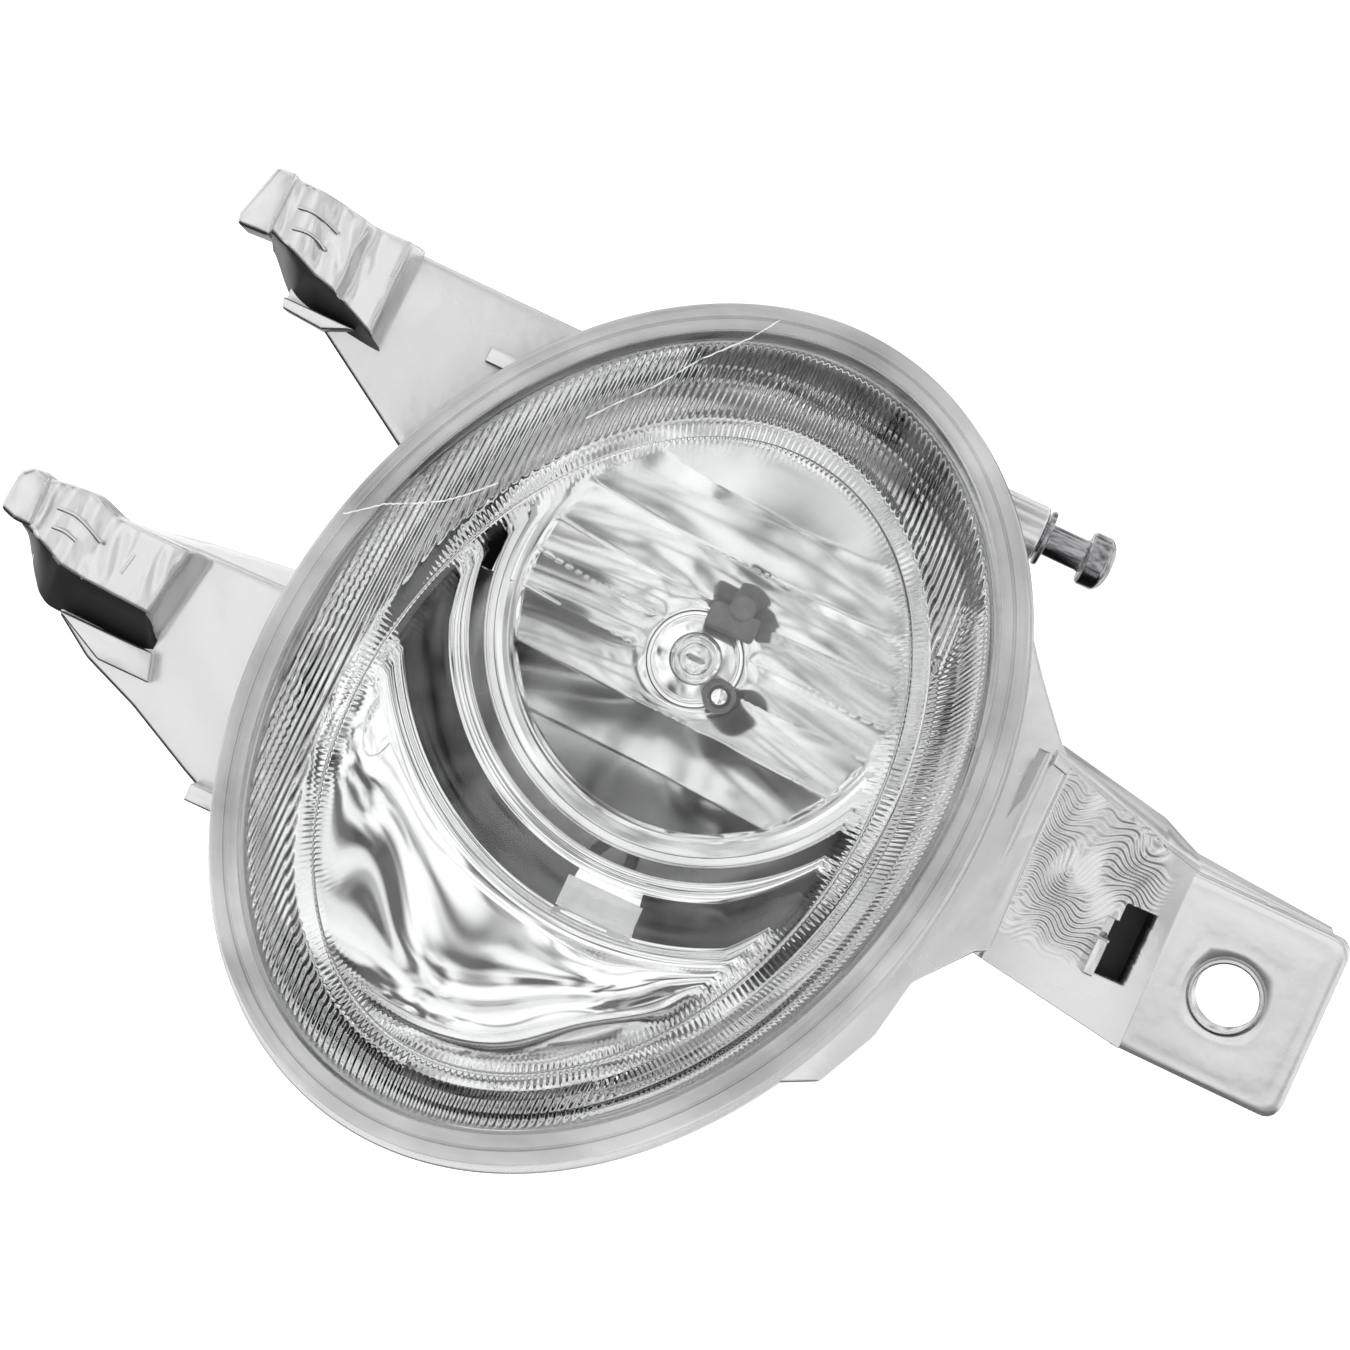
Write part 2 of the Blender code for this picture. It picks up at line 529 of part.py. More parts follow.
def leads():
    x, z = BULB
    shell = box("spade_connector", (x - 4.6, 70, z - 2.4), (x + 4.6, 82, z + 2.4), "black")
    combine(shell, "DIFFERENCE", [box("spade_slot", (x - 3.5, 60, z - 0.75), (x + 3.5, 79, z + 0.75))])
    for side, word in ((-1, "left"), (1, "right")):
        low, high = sorted((side * 2.6, side * 5.4))
        box("connector_terminal_" + word, (low, 57, -50.8), (high, 79, -50.2), "brass")
    wire("feed_lead", [(4, 56.6, -50.5), (4, 51, -49), (4, 50, -40), (2, 55, -33), (0, 66, -28),
                       (x, 76, -21), (x, 79, -12), (x, 79, z - 2.4 - GAP)], 1.1, "black")
    wire("earth_lead", [(-4, 56.6, -50.5), (-4, 51, -49), (-3, 49, -40), (6, 51, -32), (14, 58, -28),
                        (x + 15.5, 60.4, -21), (x + 15.5, 60.4, z - 11.3)], 1.1, "black")
    at = (x + 15.5, 0, z - 7.5)
    ring = [(1.6, SEAT_Y + GAP), (3.3, SEAT_Y + GAP), (3.3, SEAT_Y + 1.1), (1.6, SEAT_Y + 1.1)]
    turn("earth_ring", ring, at, "brass", sides=16)
    head = [(1.2, 54), (1.2, SEAT_Y + 1.4), (2.9, SEAT_Y + 1.4), (2.9, SEAT_Y + 3.2)]
    turn("earth_screw", head, at, "steel", sides=16, closed=False)


# ---------------------------------------------------------------- rear cap, seal, breather
def rear_cap():
    """Twist-off cup over the neck, with hooks in front of the neck's lugs and a grip bar."""
    centre = (BULB[0], 0, BULB[1])
    front, floor, back = 67.5, 87.0, 90.0
    profile = [(0.6, floor), (34, floor), (34, front), (36.2, front), (36.2, back - 1),
               (35.2, back), (0.6, back)]
    cup = turn("rear_cap", profile, centre, "black", sides=40, closed=False, pivot=centre)
    hooks = [bayonet_block(k, 68.4, NECK_R + 0.7, 35) for k in range(3)]
    grip = box("grip", (BULB[0] - 24, 88, BULB[1] - 3), (BULB[0] + 24, 95, BULB[1] + 3))
    combine(cup, "UNION", hooks + [grip])


def rear_cap_seal():
    ring = [(29, NECK_END + GAP), (31.2, NECK_END + GAP), (31.2, 86.7), (29, 86.7)]
    centre = (BULB[0], 0, BULB[1])
    turn("rear_cap_seal", ring, centre, "black", sides=40, pivot=centre)


def vent_cap():
    cup = [(3.3, 66.5), (5.2, 66.5), (5.2, 72.5), (4.4, 73.4), (0.4, 73.4), (0.4, 71), (3.3, 71)]
    turn("vent_cap", cup, (-26, 0, -47), "black", sides=20)


# ---------------------------------------------------------------- aim adjuster
def adjuster():
    at = (0, ADJ_Y, ADJ_Z)
    groove = ADJ_R - 0.8
    screw = [(ADJ_R - 0.5, -16), (ADJ_R, -15), (ADJ_R, 17.1), (groove, 17.1), (groove, 18.4),
             (ADJ_R, 18.4), (ADJ_R, 37), (groove, 37), (groove, 39.6), (ADJ_R, 39.6),
             (ADJ_R, 43.2), (4.9, 43.2), (4.9, 44.1), (ADJ_R, 44.1), (ADJ_R, 51),
             (ADJ_HEAD_R, 51.4), (ADJ_HEAD_R, 54.4), (3.4, 55.6), (1.2, 56.1)]
    turn("adjuster_screw", screw, at, "steel", "X", 20, closed=False, pivot=at)
    ring = [(groove + GAP, 37.3), (ADJ_R + 0.1, 37.3), (ADJ_R + 0.1, 39.3), (groove + GAP, 39.3)]
    turn("adjuster_seal", ring, at, "black", "X", 20, pivot=at)
    disc = [(groove + GAP, 17.4), (3.9, 17.4), (3.9, 18.1), (groove + GAP, 18.1)]
    turn("adjuster_circlip", disc, at, "steel", "X", 20, pivot=at)


def adjuster_nut():
    """Block that runs along the screw; its sloped slot carries the reflector's pin."""
    pivot = (NUT_X, ADJ_Y, ADJ_Z)
    low, high = NUT_X - NUT_HALF, NUT_X + NUT_HALF
    body = box("adjuster_nut", (low, 33, 35.6), (high, 41.8, 44.1), "white", pivot=pivot)
    shelf = box("nut_shelf", (low, 41, 38), (high, 53.4, 41))
    combine(body, "UNION", [shelf])
    half, room = NUT_TRAVEL + 0.4, 1.9
    slot = [[(NUT_X + s * half + w * room * 0.33, DRIVE_PIN[1] - s * half * SLOT_SLOPE + w * room, z)
             for s, w in ((-1, -1), (1, -1), (1, 1), (-1, 1))] for z in (34, 46)]
    ends = [rod("slot_end", room, 34, 12, (NUT_X + s * half, DRIVE_PIN[1] - s * half * SLOT_SLOPE, 0),
                "Z", sides=20) for s in (-1, 1)]
    bore = rod("nut_bore", ADJ_R + GAP, low - 2, 24, (0, ADJ_Y, ADJ_Z), "X", sides=20)
    combine(body, "DIFFERENCE", [loft("slot_cut", slot), bore] + ends)
    rod("drive_pin", 1.5, 30.3, 13.2, (*DRIVE_PIN, 0), "Z", "steel", sides=16)


ROOT = start()
housing()
tab_bush()
lens()
lens_adhesive()
bezel()
reflector()
pivots()
bulb()
bulb_clip()
leads()
rear_cap()
rear_cap_seal()
vent_cap()
adjuster()
adjuster_nut()
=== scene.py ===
"""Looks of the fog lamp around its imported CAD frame.

Shapes are written in millimetres in lamp coordinates: the origin is the centre of the
reflector's mouth, +X points to the screw tab, -Y along the beam and +Z up.
"""
from math import cos, pi, radians, sin

import bmesh
import bpy
import numpy as np
from mathutils import Matrix, Vector


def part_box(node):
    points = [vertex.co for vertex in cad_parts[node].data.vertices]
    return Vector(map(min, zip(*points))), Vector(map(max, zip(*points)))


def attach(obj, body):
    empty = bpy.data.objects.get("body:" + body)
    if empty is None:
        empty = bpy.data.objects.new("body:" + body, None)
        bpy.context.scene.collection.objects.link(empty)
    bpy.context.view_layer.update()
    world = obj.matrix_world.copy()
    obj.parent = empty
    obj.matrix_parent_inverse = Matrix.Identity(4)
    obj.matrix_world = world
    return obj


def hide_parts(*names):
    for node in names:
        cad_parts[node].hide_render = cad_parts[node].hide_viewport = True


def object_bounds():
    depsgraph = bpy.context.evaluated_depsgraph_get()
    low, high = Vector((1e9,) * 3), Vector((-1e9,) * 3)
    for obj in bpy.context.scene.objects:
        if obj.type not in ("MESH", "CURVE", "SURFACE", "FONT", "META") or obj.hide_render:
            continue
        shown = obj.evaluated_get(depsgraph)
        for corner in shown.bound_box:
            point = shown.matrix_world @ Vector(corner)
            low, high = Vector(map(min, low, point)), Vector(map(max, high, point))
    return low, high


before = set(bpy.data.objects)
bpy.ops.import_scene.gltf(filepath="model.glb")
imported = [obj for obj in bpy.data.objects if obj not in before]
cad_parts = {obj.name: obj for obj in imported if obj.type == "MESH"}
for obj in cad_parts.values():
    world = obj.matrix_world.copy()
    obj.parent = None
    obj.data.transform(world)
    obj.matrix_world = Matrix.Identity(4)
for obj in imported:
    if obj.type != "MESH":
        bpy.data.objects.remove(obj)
CAD_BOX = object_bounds()

MM = 0.001
GAP = 0.3  # clearance between pieces that are fitted together
PIVOT_Y = 34.0
_left, _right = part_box("pivot_pin_left"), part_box("pivot_pin_right")
ORIGIN = (_left[0] + _right[1]) / 2 - Vector((0, PIVOT_Y, 0)) * MM

# Ovals of the lens, housing and trim, leaning over by LEAN
LEAN = radians(15)
RIM = dict(a=75.7, b=57.6, centre=(-8.0, -18.0))
RIM_BACK = 3.0
WINDOW = dict(a=55.6, b=39.4, centre=(-7.2, -22.2))
NEAR = dict(a=55.6, b=39.4, centre=(-7.4, -21.0))
FLANGE = dict(a=76.4, b=58.4, centre=(-7.4, -18.8))
WINDOW_RISE, DOME_RISE = 12.0, 5.8

# Radii and depths of the housing, its neck, the reflector and the trim
FLANGE_DEEP, WALL, BOWL_IN = 12.5, 2.5, 4.2
BACK_Y, BACK_R = 66.0, 41.0
NECK_R, NECK_END, NECK_WALL = 31.5, 84.0, 3.0
BULB = (-1.2, -4.0)
BULB_AXIS = (BULB[0], 0, BULB[1])
MOUTH_R, LIP_R, LIP_Y = 33.5, 38.6, 28.2
VERTEX_R, VERTEX_Y, SEAT_Y = 8.5, 56.0, 58.6
BEZEL_R, BEZEL_Y = 40.6, 24.0
AIM_AXIS = (0, 37.4, 39.8)
BREATHER = (-26, 0, -47)

# The tab: middle of its hole, its turn and dip away from the beam, and its thickness
TAB_HOLE = Vector((98.0, -1.5, -17.3))
TAB_TURN, TAB_DIP, TAB_THICK = radians(14), radians(12), 3.2


# ---------------------------------------------------------------- materials
def shader_of(name, colour=(0.8, 0.8, 0.8), **values):
    """A Principled material; values are its sockets, with _ for spaces."""
    material = bpy.data.materials.new(name)
    material.use_nodes = True
    shader = material.node_tree.nodes["Principled BSDF"]
    shader.inputs["Base Color"].default_value = (*colour, 1)
    for key, value in values.items():
        shader.inputs[key.replace("_", " ")].default_value = value
    return material, material.node_tree, shader


def noise(tree, scale, detail, stretch=(1, 1, 1)):
    """A noise over the object, in its own units."""
    nodes, links = tree.nodes, tree.links
    place = nodes.new("ShaderNodeTexCoord")
    mapping = nodes.new("ShaderNodeMapping")
    mapping.inputs["Scale"].default_value = stretch
    texture = nodes.new("ShaderNodeTexNoise")
    texture.inputs["Scale"].default_value = scale
    texture.inputs["Detail"].default_value = detail
    links.new(place.outputs["Object"], mapping.inputs["Vector"])
    links.new(mapping.outputs["Vector"], texture.inputs["Vector"])
    return texture.outputs["Fac"]


def ramp(tree, source, stops):
    """Colour ramp from (position, grey or colour) stops."""
    node = tree.nodes.new("ShaderNodeValToRGB")
    node.color_ramp.elements.remove(node.color_ramp.elements[1])
    for i, (position, colour) in enumerate(stops):
        elements = node.color_ramp.elements
        element = elements[0] if i == 0 else elements.new(position)
        element.position = position
        element.color = (*colour, 1) if hasattr(colour, "__len__") else (colour,) * 3 + (1,)
    tree.links.new(source, node.inputs["Fac"])
    return node.outputs["Color"]


def bump(tree, shader, height, strength, distance):
    node = tree.nodes.new("ShaderNodeBump")
    node.inputs["Strength"].default_value = strength
    node.inputs["Distance"].default_value = distance
    tree.links.new(height, node.inputs["Height"])
    tree.links.new(node.outputs["Normal"], shader.inputs["Normal"])


def worn(name, colour, spread, rough, scale, grain=0.0, depth=0.0002, stretch=(1, 1, 1),
         **values):
    """A finish whose colour and roughness vary gently, with a fine grain in relief."""
    material, tree, shader = shader_of(name, colour, **values)
    patches = noise(tree, scale, 4.0, stretch)
    low = tuple(c * (1 - spread) for c in colour)
    high = tuple(min(1, c * (1 + spread)) for c in colour)
    tree.links.new(ramp(tree, patches, [(0.3, low), (0.7, high)]), shader.inputs["Base Color"])
    tree.links.new(ramp(tree, patches, [(0.3, rough[0]), (0.7, rough[1])]),
                   shader.inputs["Roughness"])
    if grain:
        bump(tree, shader, noise(tree, grain, 2.0, stretch), 0.35, depth)
    return material


MAT = {
    "glass": worn("lens_glass", (0.98, 0.985, 0.985), 0.01, (0.0, 0.012), 60,
                  Transmission_Weight=1.0, IOR=1.5),
    "rim": worn("lens_rim_satin", (0.47, 0.47, 0.47), 0.3, (0.06, 0.18), 38,
                stretch=(1, 1, 1.6), Coat_Weight=0.7, Coat_Roughness=0.04),
    "chrome": worn("trim_chrome", (0.9, 0.9, 0.9), 0.02, (0.03, 0.07), 35, Metallic=1.0),
    # dark chrome: the trim's dark cone, and a painted reflection on a sector of its wall
    "dark_and_painted_reflection": worn("dark_chrome_painted_reflection", (0.075, 0.075, 0.077), 0.15, (0.05, 0.1), 60, Metallic=1.0),
    "mirror": worn("reflector_mirror", (0.94, 0.94, 0.94), 0.02, (0.09, 0.14), 45, Metallic=1.0),
    "silver": worn("plated_plastic", (0.72, 0.72, 0.725), 0.04, (0.2, 0.32), 40,
                   grain=240, depth=0.0002, Metallic=0.85),
    "steel": worn("bright_steel", (0.62, 0.62, 0.62), 0.06, (0.18, 0.3), 120,
                  grain=900, depth=0.0001, Metallic=1.0),
    "dark_steel": worn("dark_plated_steel", (0.36, 0.36, 0.37), 0.1, (0.14, 0.26), 150,
                       grain=800, depth=0.0001, stretch=(0.2, 1, 1), Metallic=1.0),
    "brass": worn("tinned_brass", (0.76, 0.66, 0.44), 0.06, (0.22, 0.36), 200, Metallic=1.0),
    "black": worn("black_plastic", (0.028, 0.028, 0.03), 0.15, (0.38, 0.55), 80,
                  grain=1500, depth=0.00015),
    "rubber": worn("seal_rubber", (0.02, 0.02, 0.021), 0.2, (0.6, 0.8), 90, grain=1200),
    "natural": worn("natural_plastic", (0.78, 0.76, 0.7), 0.03, (0.35, 0.5), 90,
                    grain=900, Subsurface_Weight=0.1),
    "ceramic": worn("dark_ceramic", (0.24, 0.24, 0.24), 0.25, (0.3, 0.5), 300, grain=1500),
    # near-black finish for faces that point down and for the inside of the tab's slot: painted
    # shade
    "shade": worn("painted_shade_black", (0.02, 0.02, 0.02), 0.2, (0.3, 0.45), 60),
    "sealant": worn("pale_sealant", (0.62, 0.62, 0.62), 0.06, (0.3, 0.45), 60),
    # near-white lines on the lens front: painted highlights
    "line": worn("painted_highlight_line", (0.97, 0.97, 0.97), 0.02, (0.1, 0.2), 200),
}


# ---------------------------------------------------------------- mesh builders
def piece(name, points, faces, material, body="housing", slot=None, sharp=40, zones=None):
    """A mesh object from lamp points in millimetres, riding on a CAD body."""
    mesh = bpy.data.meshes.new(name)
    points = np.asarray(points, float) * MM + np.array(ORIGIN)
    mesh.from_pydata(points.tolist(), [], [tuple(f) for f in faces])
    for key in [material] if isinstance(material, str) else material:
        mesh.materials.append(MAT[key])
    if zones is not None:
        mesh.polygons.foreach_set("material_index", np.asarray(zones, np.int32))
    made = bmesh.new()
    made.from_mesh(mesh)
    bmesh.ops.recalc_face_normals(made, faces=made.faces)
    made.to_mesh(mesh)
    made.free()
    mesh.shade_smooth()
    mesh.set_sharp_from_angle(angle=radians(sharp))
    obj = bpy.data.objects.new(name, mesh)
    bpy.context.scene.collection.objects.link(obj)
    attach(obj, body)
    return obj


class Shape:
    """Points and faces collected from several closed bodies of one piece."""

    def __init__(self):
        self.points, self.faces = [], []

    def add(self, points, faces):
        start = len(self.points)
        self.points += [tuple(p) for p in points]
        self.faces += [tuple(i + start for i in f) for f in faces]

    def rings(self, rings, closed=False):
        points, faces = skin(rings, closed)
        self.add(points, faces)

    def bevelled(self, rings, size, segments=3, trim=False):
        """A lofted body with every edge rounded, cut off at the housing's wall if asked."""
        points, faces = skin(rings, False)
        made = bmesh.new()
        corners = [made.verts.new(p) for p in points]
        for f in faces:
            made.faces.new([corners[i] for i in f])
        bmesh.ops.remove_doubles(made, verts=made.verts, dist=1e-4)
        bmesh.ops.recalc_face_normals(made, faces=made.faces)
        bmesh.ops.bevel(made, geom=made.edges[:] + made.verts[:], offset=size,
                        segments=segments, affect="EDGES", clamp_overlap=True, profile=0.5)
        made.verts.index_update()
        body = [v.co[:] for v in made.verts], [[v.index for v in f.verts] for f in made.faces]
        made.free()
        self.add(*(carved(body, cavity()) if trim else body))

    def plate(self, outline, front_y, back_y, size, trim=False):
        """A plate between two depths; a depth is a number or a function of x and z."""
        self.bevelled([[(x, y(x, z) if callable(y) else y, z) for x, z in outline]
                       for y in (front_y, back_y)], size, trim=trim)

    def box(self, low, high, size=0.4):
        (x0, y0, z0), (x1, y1, z1) = low, high
        self.bevelled([[(x0, y, z0), (x1, y, z0), (x1, y, z1), (x0, y, z1)] for y in (y0, y1)],
                      size)

    def turn(self, profile, centre, axis="Y", sides=72, closed=False):
        self.rings([spun(r, along, centre, axis, sides) for r, along in profile], closed)

    def tube(self, path, radius, sides=10):
        """A round wire along a path, smoothed by corner cutting."""
        path = [Vector(p) for p in path]
        for _ in range(3):
            cut = [path[0]]
            for one, two in zip(path, path[1:]):
                cut += [one.lerp(two, 0.25), one.lerp(two, 0.75)]
            path = cut + [path[-1]]
        side, rings = None, []
        for i, p in enumerate(path):
            along = (path[min(i + 1, len(path) - 1)] - path[max(i - 1, 0)]).normalized()
            side = along.orthogonal() if side is None else side - along * side.dot(along)
            side.normalize()
            up = along.cross(side)
            rings.append([p + radius * (side * cos(2 * pi * k / sides)
                                        + up * sin(2 * pi * k / sides)) for k in range(sides)])
        self.rings(rings)

    def make(self, name, material, **rest):
        return piece(name, self.points, self.faces, material, **rest)


def skin(rings, closed):
    """Quads between rings of equal length, with caps or the last ring joined to the first."""
    rings = [np.asarray([tuple(p) for p in r], float) for r in rings]
    count, n = len(rings), len(rings[0])
    i = np.arange(n)
    j = (i + 1) % n
    faces = []
    for k in range(count if closed else count - 1):
        one, two = k * n, ((k + 1) % count) * n
        faces.append(np.stack([one + i, one + j, two + j, two + i], 1))
    faces = np.concatenate(faces).tolist()
    if not closed:
        faces += [list(range(n))[::-1], list(range((count - 1) * n, count * n))]
    return np.concatenate(rings), faces


def carved(body, cutter, operation="DIFFERENCE"):
    """Points and faces of a body with another one taken out of it, or of what they share."""
    pair = []
    for points, faces in (body, cutter):
        mesh = bpy.data.meshes.new("carving")
        mesh.from_pydata([tuple(p) for p in points], [], [tuple(f) for f in faces])
        made = bmesh.new()
        made.from_mesh(mesh)
        bmesh.ops.recalc_face_normals(made, faces=made.faces)
        made.to_mesh(mesh)
        made.free()
        pair.append(bpy.data.objects.new("carving", mesh))
        bpy.context.scene.collection.objects.link(pair[-1])
    cut = pair[0].modifiers.new("cut", "BOOLEAN")
    cut.operation, cut.solver, cut.object = operation, "EXACT", pair[1]
    bpy.context.view_layer.update()
    left = pair[0].evaluated_get(bpy.context.evaluated_depsgraph_get()).data
    result = [v.co[:] for v in left.vertices], [list(f.vertices) for f in left.polygons]
    for obj in pair:
        mesh = obj.data
        bpy.data.objects.remove(obj)
        bpy.data.meshes.remove(mesh)
    return result


def cavity():
    """The space inside the housing, out to the middle of its wall."""
    start = oval(BOWL_IN + WALL / 2, FLANGE_DEEP)
    end = circle(BACK_R - WALL / 2, BACK_Y - WALL / 2, BULB)
    return skin([oval(1.4, -4), oval(1.4, 10.4)] + [sweep(start, end, k / 12) for k in range(13)],
                False)


def spun(r, along, centre, axis, sides):
    """A round ring about an axis through a centre, some way along it."""
    points = []
    for i in range(sides):
        a = 2 * pi * (i + 0.5) / sides
        p = {"X": (along, r * cos(a), r * sin(a)), "Y": (r * cos(a), along, r * sin(a))}[axis]
        points.append([p[k] + centre[k] for k in range(3)])
    return points


def rim_y(x, z):
    """Depth of the lens rim's slanting plane."""
    return -0.14 * (x - RIM["centre"][0]) + 0.249 * (z - RIM["centre"][1])


def oval(inset, off, a=RIM["a"], b=RIM["b"], centre=RIM["centre"], scale=1.0, sides=192):
    """A ring like the lens rim, inset from it and set back from the rim plane by off."""
    t = np.arange(sides) * 2 * pi / sides
    along, across = (a - inset) * scale * np.cos(t), (b - inset) * scale * np.sin(t)
    x = centre[0] + along * sin(LEAN) - across * cos(LEAN)
    z = centre[1] + along * cos(LEAN) + across * sin(LEAN)
    return np.stack([x, rim_y(x, z) + off, z], 1)


def circle(r, y, centre, sides=192):
    ring = oval(0, 0, r, r, centre, sides=sides)
    ring[:, 1] = y
    return ring


def sweep(one, two, portion):
    """A ring between two rings, going back first and then inwards, like a bowl."""
    angle = portion * pi / 2
    mix = np.array([1 - cos(angle), sin(angle), 1 - cos(angle)])
    return one + (two - one) * mix


def between(one, two, count):
    """Rings from one to another in even steps, both included."""
    return [one + (two - one) * k / count for k in range(count + 1)]


def tab_point(x, y, z):
    """A point of the tab: x along it, y back from its front face, z up it."""
    front = Vector((-sin(TAB_TURN) * cos(TAB_DIP), -cos(TAB_TURN) * cos(TAB_DIP), -sin(TAB_DIP)))
    right = Vector((cos(TAB_TURN), -sin(TAB_TURN), 0))
    return TAB_HOLE + float(x) * right - float(y) * front + float(z) * front.cross(right)


# ---------------------------------------------------------------- lens
LENS_SIDES = 1600
LEG_PAINTED = 5  # rows of faces of the lens leg that have the rim's finish
FLUTE_PITCH, RIB_PITCH = 1.1, 0.95
FLUTE_DEEP, RIB_DEEP = 0.2, 0.07


def smooth(value, low, high):
    t = np.clip((value - low) / (high - low), 0, 1)
    return t * t * (3 - 2 * t)


def lens_rings():
    """Front rings from the rim to the window, leg rings, and fluted rings of the back."""
    def one(inset, off, **shape):
        return oval(inset, off, sides=LENS_SIDES, **shape)
    rim = [one(0, RIM_BACK), one(0, 0.7), one(0.2, 0.25), one(0.7, 0.0), one(2.2, -0.1),
           one(2.4, 0.15), one(2.65, 0.15), one(2.85, -0.2), one(3.6, -0.3), one(4.3, -0.35),
           one(4.6, -0.5)]
    bead = [one(4.75, -0.8), one(4.9, -1.15), one(5.3, -1.5)]
    mid = one(-8.5, -6.6, **NEAR)
    edge = one(-4.2, 1.4 - WINDOW_RISE, **WINDOW)
    skirt = between(bead[-1], mid, 8)[1:] + between(mid, edge, 8)[1:]
    sill = [one(inset, rise - WINDOW_RISE, **WINDOW) for inset, rise in
            ((-0.75, 0.2), (-0.5, -0.1), (-0.2, -0.22), (0.1, -0.1), (0.3, 0.12))]
    dome = [one(0, -WINDOW_RISE - DOME_RISE * (1 - s * s), scale=s, **WINDOW)
            for s in (0.97, 0.92, 0.85, 0.75, 0.62, 0.48, 0.33, 0.18, 0.05)]
    front = rim + bead + skirt + sill + dome
    leg = [one(2.1, 3.0), one(2.1, 8.2), one(2.5, 8.6), one(4.1, 8.6), one(4.5, 8.2),
           one(4.5, 3.0), one(7.1, 1.0)]
    thick = 2.6
    back_mid = one(-6.6, -4.1, **NEAR)
    back_edge = one(-2.6, 1.4 + thick - WINDOW_RISE, **WINDOW)
    back_in = one(1.6, thick - WINDOW_RISE, **WINDOW)
    fluted = between(leg[-1], back_mid, 20)[1:] + between(back_mid, back_edge, 28)[1:]
    ribbed = between(back_edge, back_in, 8)[1:]
    fluted = [flute(r, k / len(fluted)) for k, r in enumerate(fluted)]
    ribbed = [rib(r, k / len(ribbed)) for k, r in enumerate(ribbed)]
    inner = [one(1.6, thick - WINDOW_RISE - DOME_RISE * (1 - s * s), scale=s, **WINDOW)
             for s in (0.97, 0.9, 0.8, 0.65, 0.48, 0.3, 0.12, 0.05)]
    return rim, front, leg, fluted + ribbed + inner


def arc_length(ring):
    """Distance of each point along a ring, and the ring's whole length."""
    steps = np.linalg.norm(np.roll(ring, -1, 0) - ring, axis=1)
    return np.concatenate([[0], np.cumsum(steps)[:-1]]), steps.sum()


def waves(ring, pitch):
    """Phase of ribs that run across the ring, a whole number of them round it."""
    along, total = arc_length(ring)
    return 2 * pi * along / total * round(total / pitch)


def flute(ring, share):
    """Upright flutes on the left and top, ribs across the skirt on the right."""
    x, z = ring[:, 0], ring[:, 2]
    right = smooth(x - 0.25 * z, 22, 34)
    upright = np.sin(2 * pi * x / FLUTE_PITCH)
    across = np.sin(waves(oval(5, 0, sides=len(ring)), RIB_PITCH))
    fade = min(1, share * 12) * min(1, (1 - share) * 12)
    out = ring.copy()
    out[:, 1] += fade * (FLUTE_DEEP * (1 - right) * upright + RIB_DEEP * right * across)
    return out


def rib(ring, share):
    """Ribs across the band round the window."""
    out = ring.copy()
    fade = sin(pi * min(1, share + 0.1))
    out[:, 1] += RIB_DEEP * fade * np.sin(waves(oval(0, 0, sides=len(ring), **WINDOW), RIB_PITCH))
    return out


def lens():
    """The fluted lens with its satin rim, and two near-white wavy lines on its front, painted
    highlights of a reflection edge seen through the flutes.
    """
    rim, front, leg, back = lens_rings()
    rings = front[::-1] + leg + back
    points, faces = skin(rings, False)
    zones = np.zeros(len(faces), int)
    start = (len(front) - len(rim)) * LENS_SIDES
    zones[start:start + (len(rim) + LEG_PAINTED) * LENS_SIDES] = 1
    obj = piece("lens_fluted", points, faces, ["glass", "rim"], slot="lens_glass", zones=zones)
    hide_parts("lens")
    surface = np.concatenate(front)
    # Two thin near-white tubes that wave with the flutes: painted highlight lines
    shape, cuts = Shape(), 9
    for path in (((-63.5, -6.9), (-58, -2.6), (-53.5, -0.6), (-49, 1.8), (-46, 4.2), (-41.5, 8.7)),
                 ((-34, 23.6), (-31, 27.5), (-26, 33.5), (-21.5, 40.5), (-15.5, 47.5),
                  (-12, 53.2))):
        line = []
        for (x0, z0), (x1, z1) in zip(path, path[1:]):
            for k in range(cuts):
                x, z = x0 + (x1 - x0) * k / cuts, z0 + (z1 - z0) * k / cuts
                y = surface[np.argmin((surface[:, 0] - x) ** 2 + (surface[:, 2] - z) ** 2), 1]
                line.append((x, y, z + 0.12 * sin(2 * pi * x / FLUTE_PITCH)))
        shape.tube(line, 0.14, 8)
    shape.make("lens_painted_highlight_line", "line", slot="lens_glass")


# ---------------------------------------------------------------- bezel and reflector
BOWL_STEPS = 40
FULL_REACH = 21  # width of the trim where its profile has its full height
EDGE_OFF = 4.6  # the trim's outer edge lies this far behind the rim plane
CONE_ROWS = range(8, 12)  # rows of faces of the cone, outside the lip
WALL_ROWS = range(15, 20 + BOWL_STEPS)  # from the step out to the edge
PAD_TURN, PAD_HALF = -88, 7.5  # degrees round the mouth where the cone stays bright
SHADE_TURN = (30, 118)  # and where the wall is dark chrome, a painted reflection
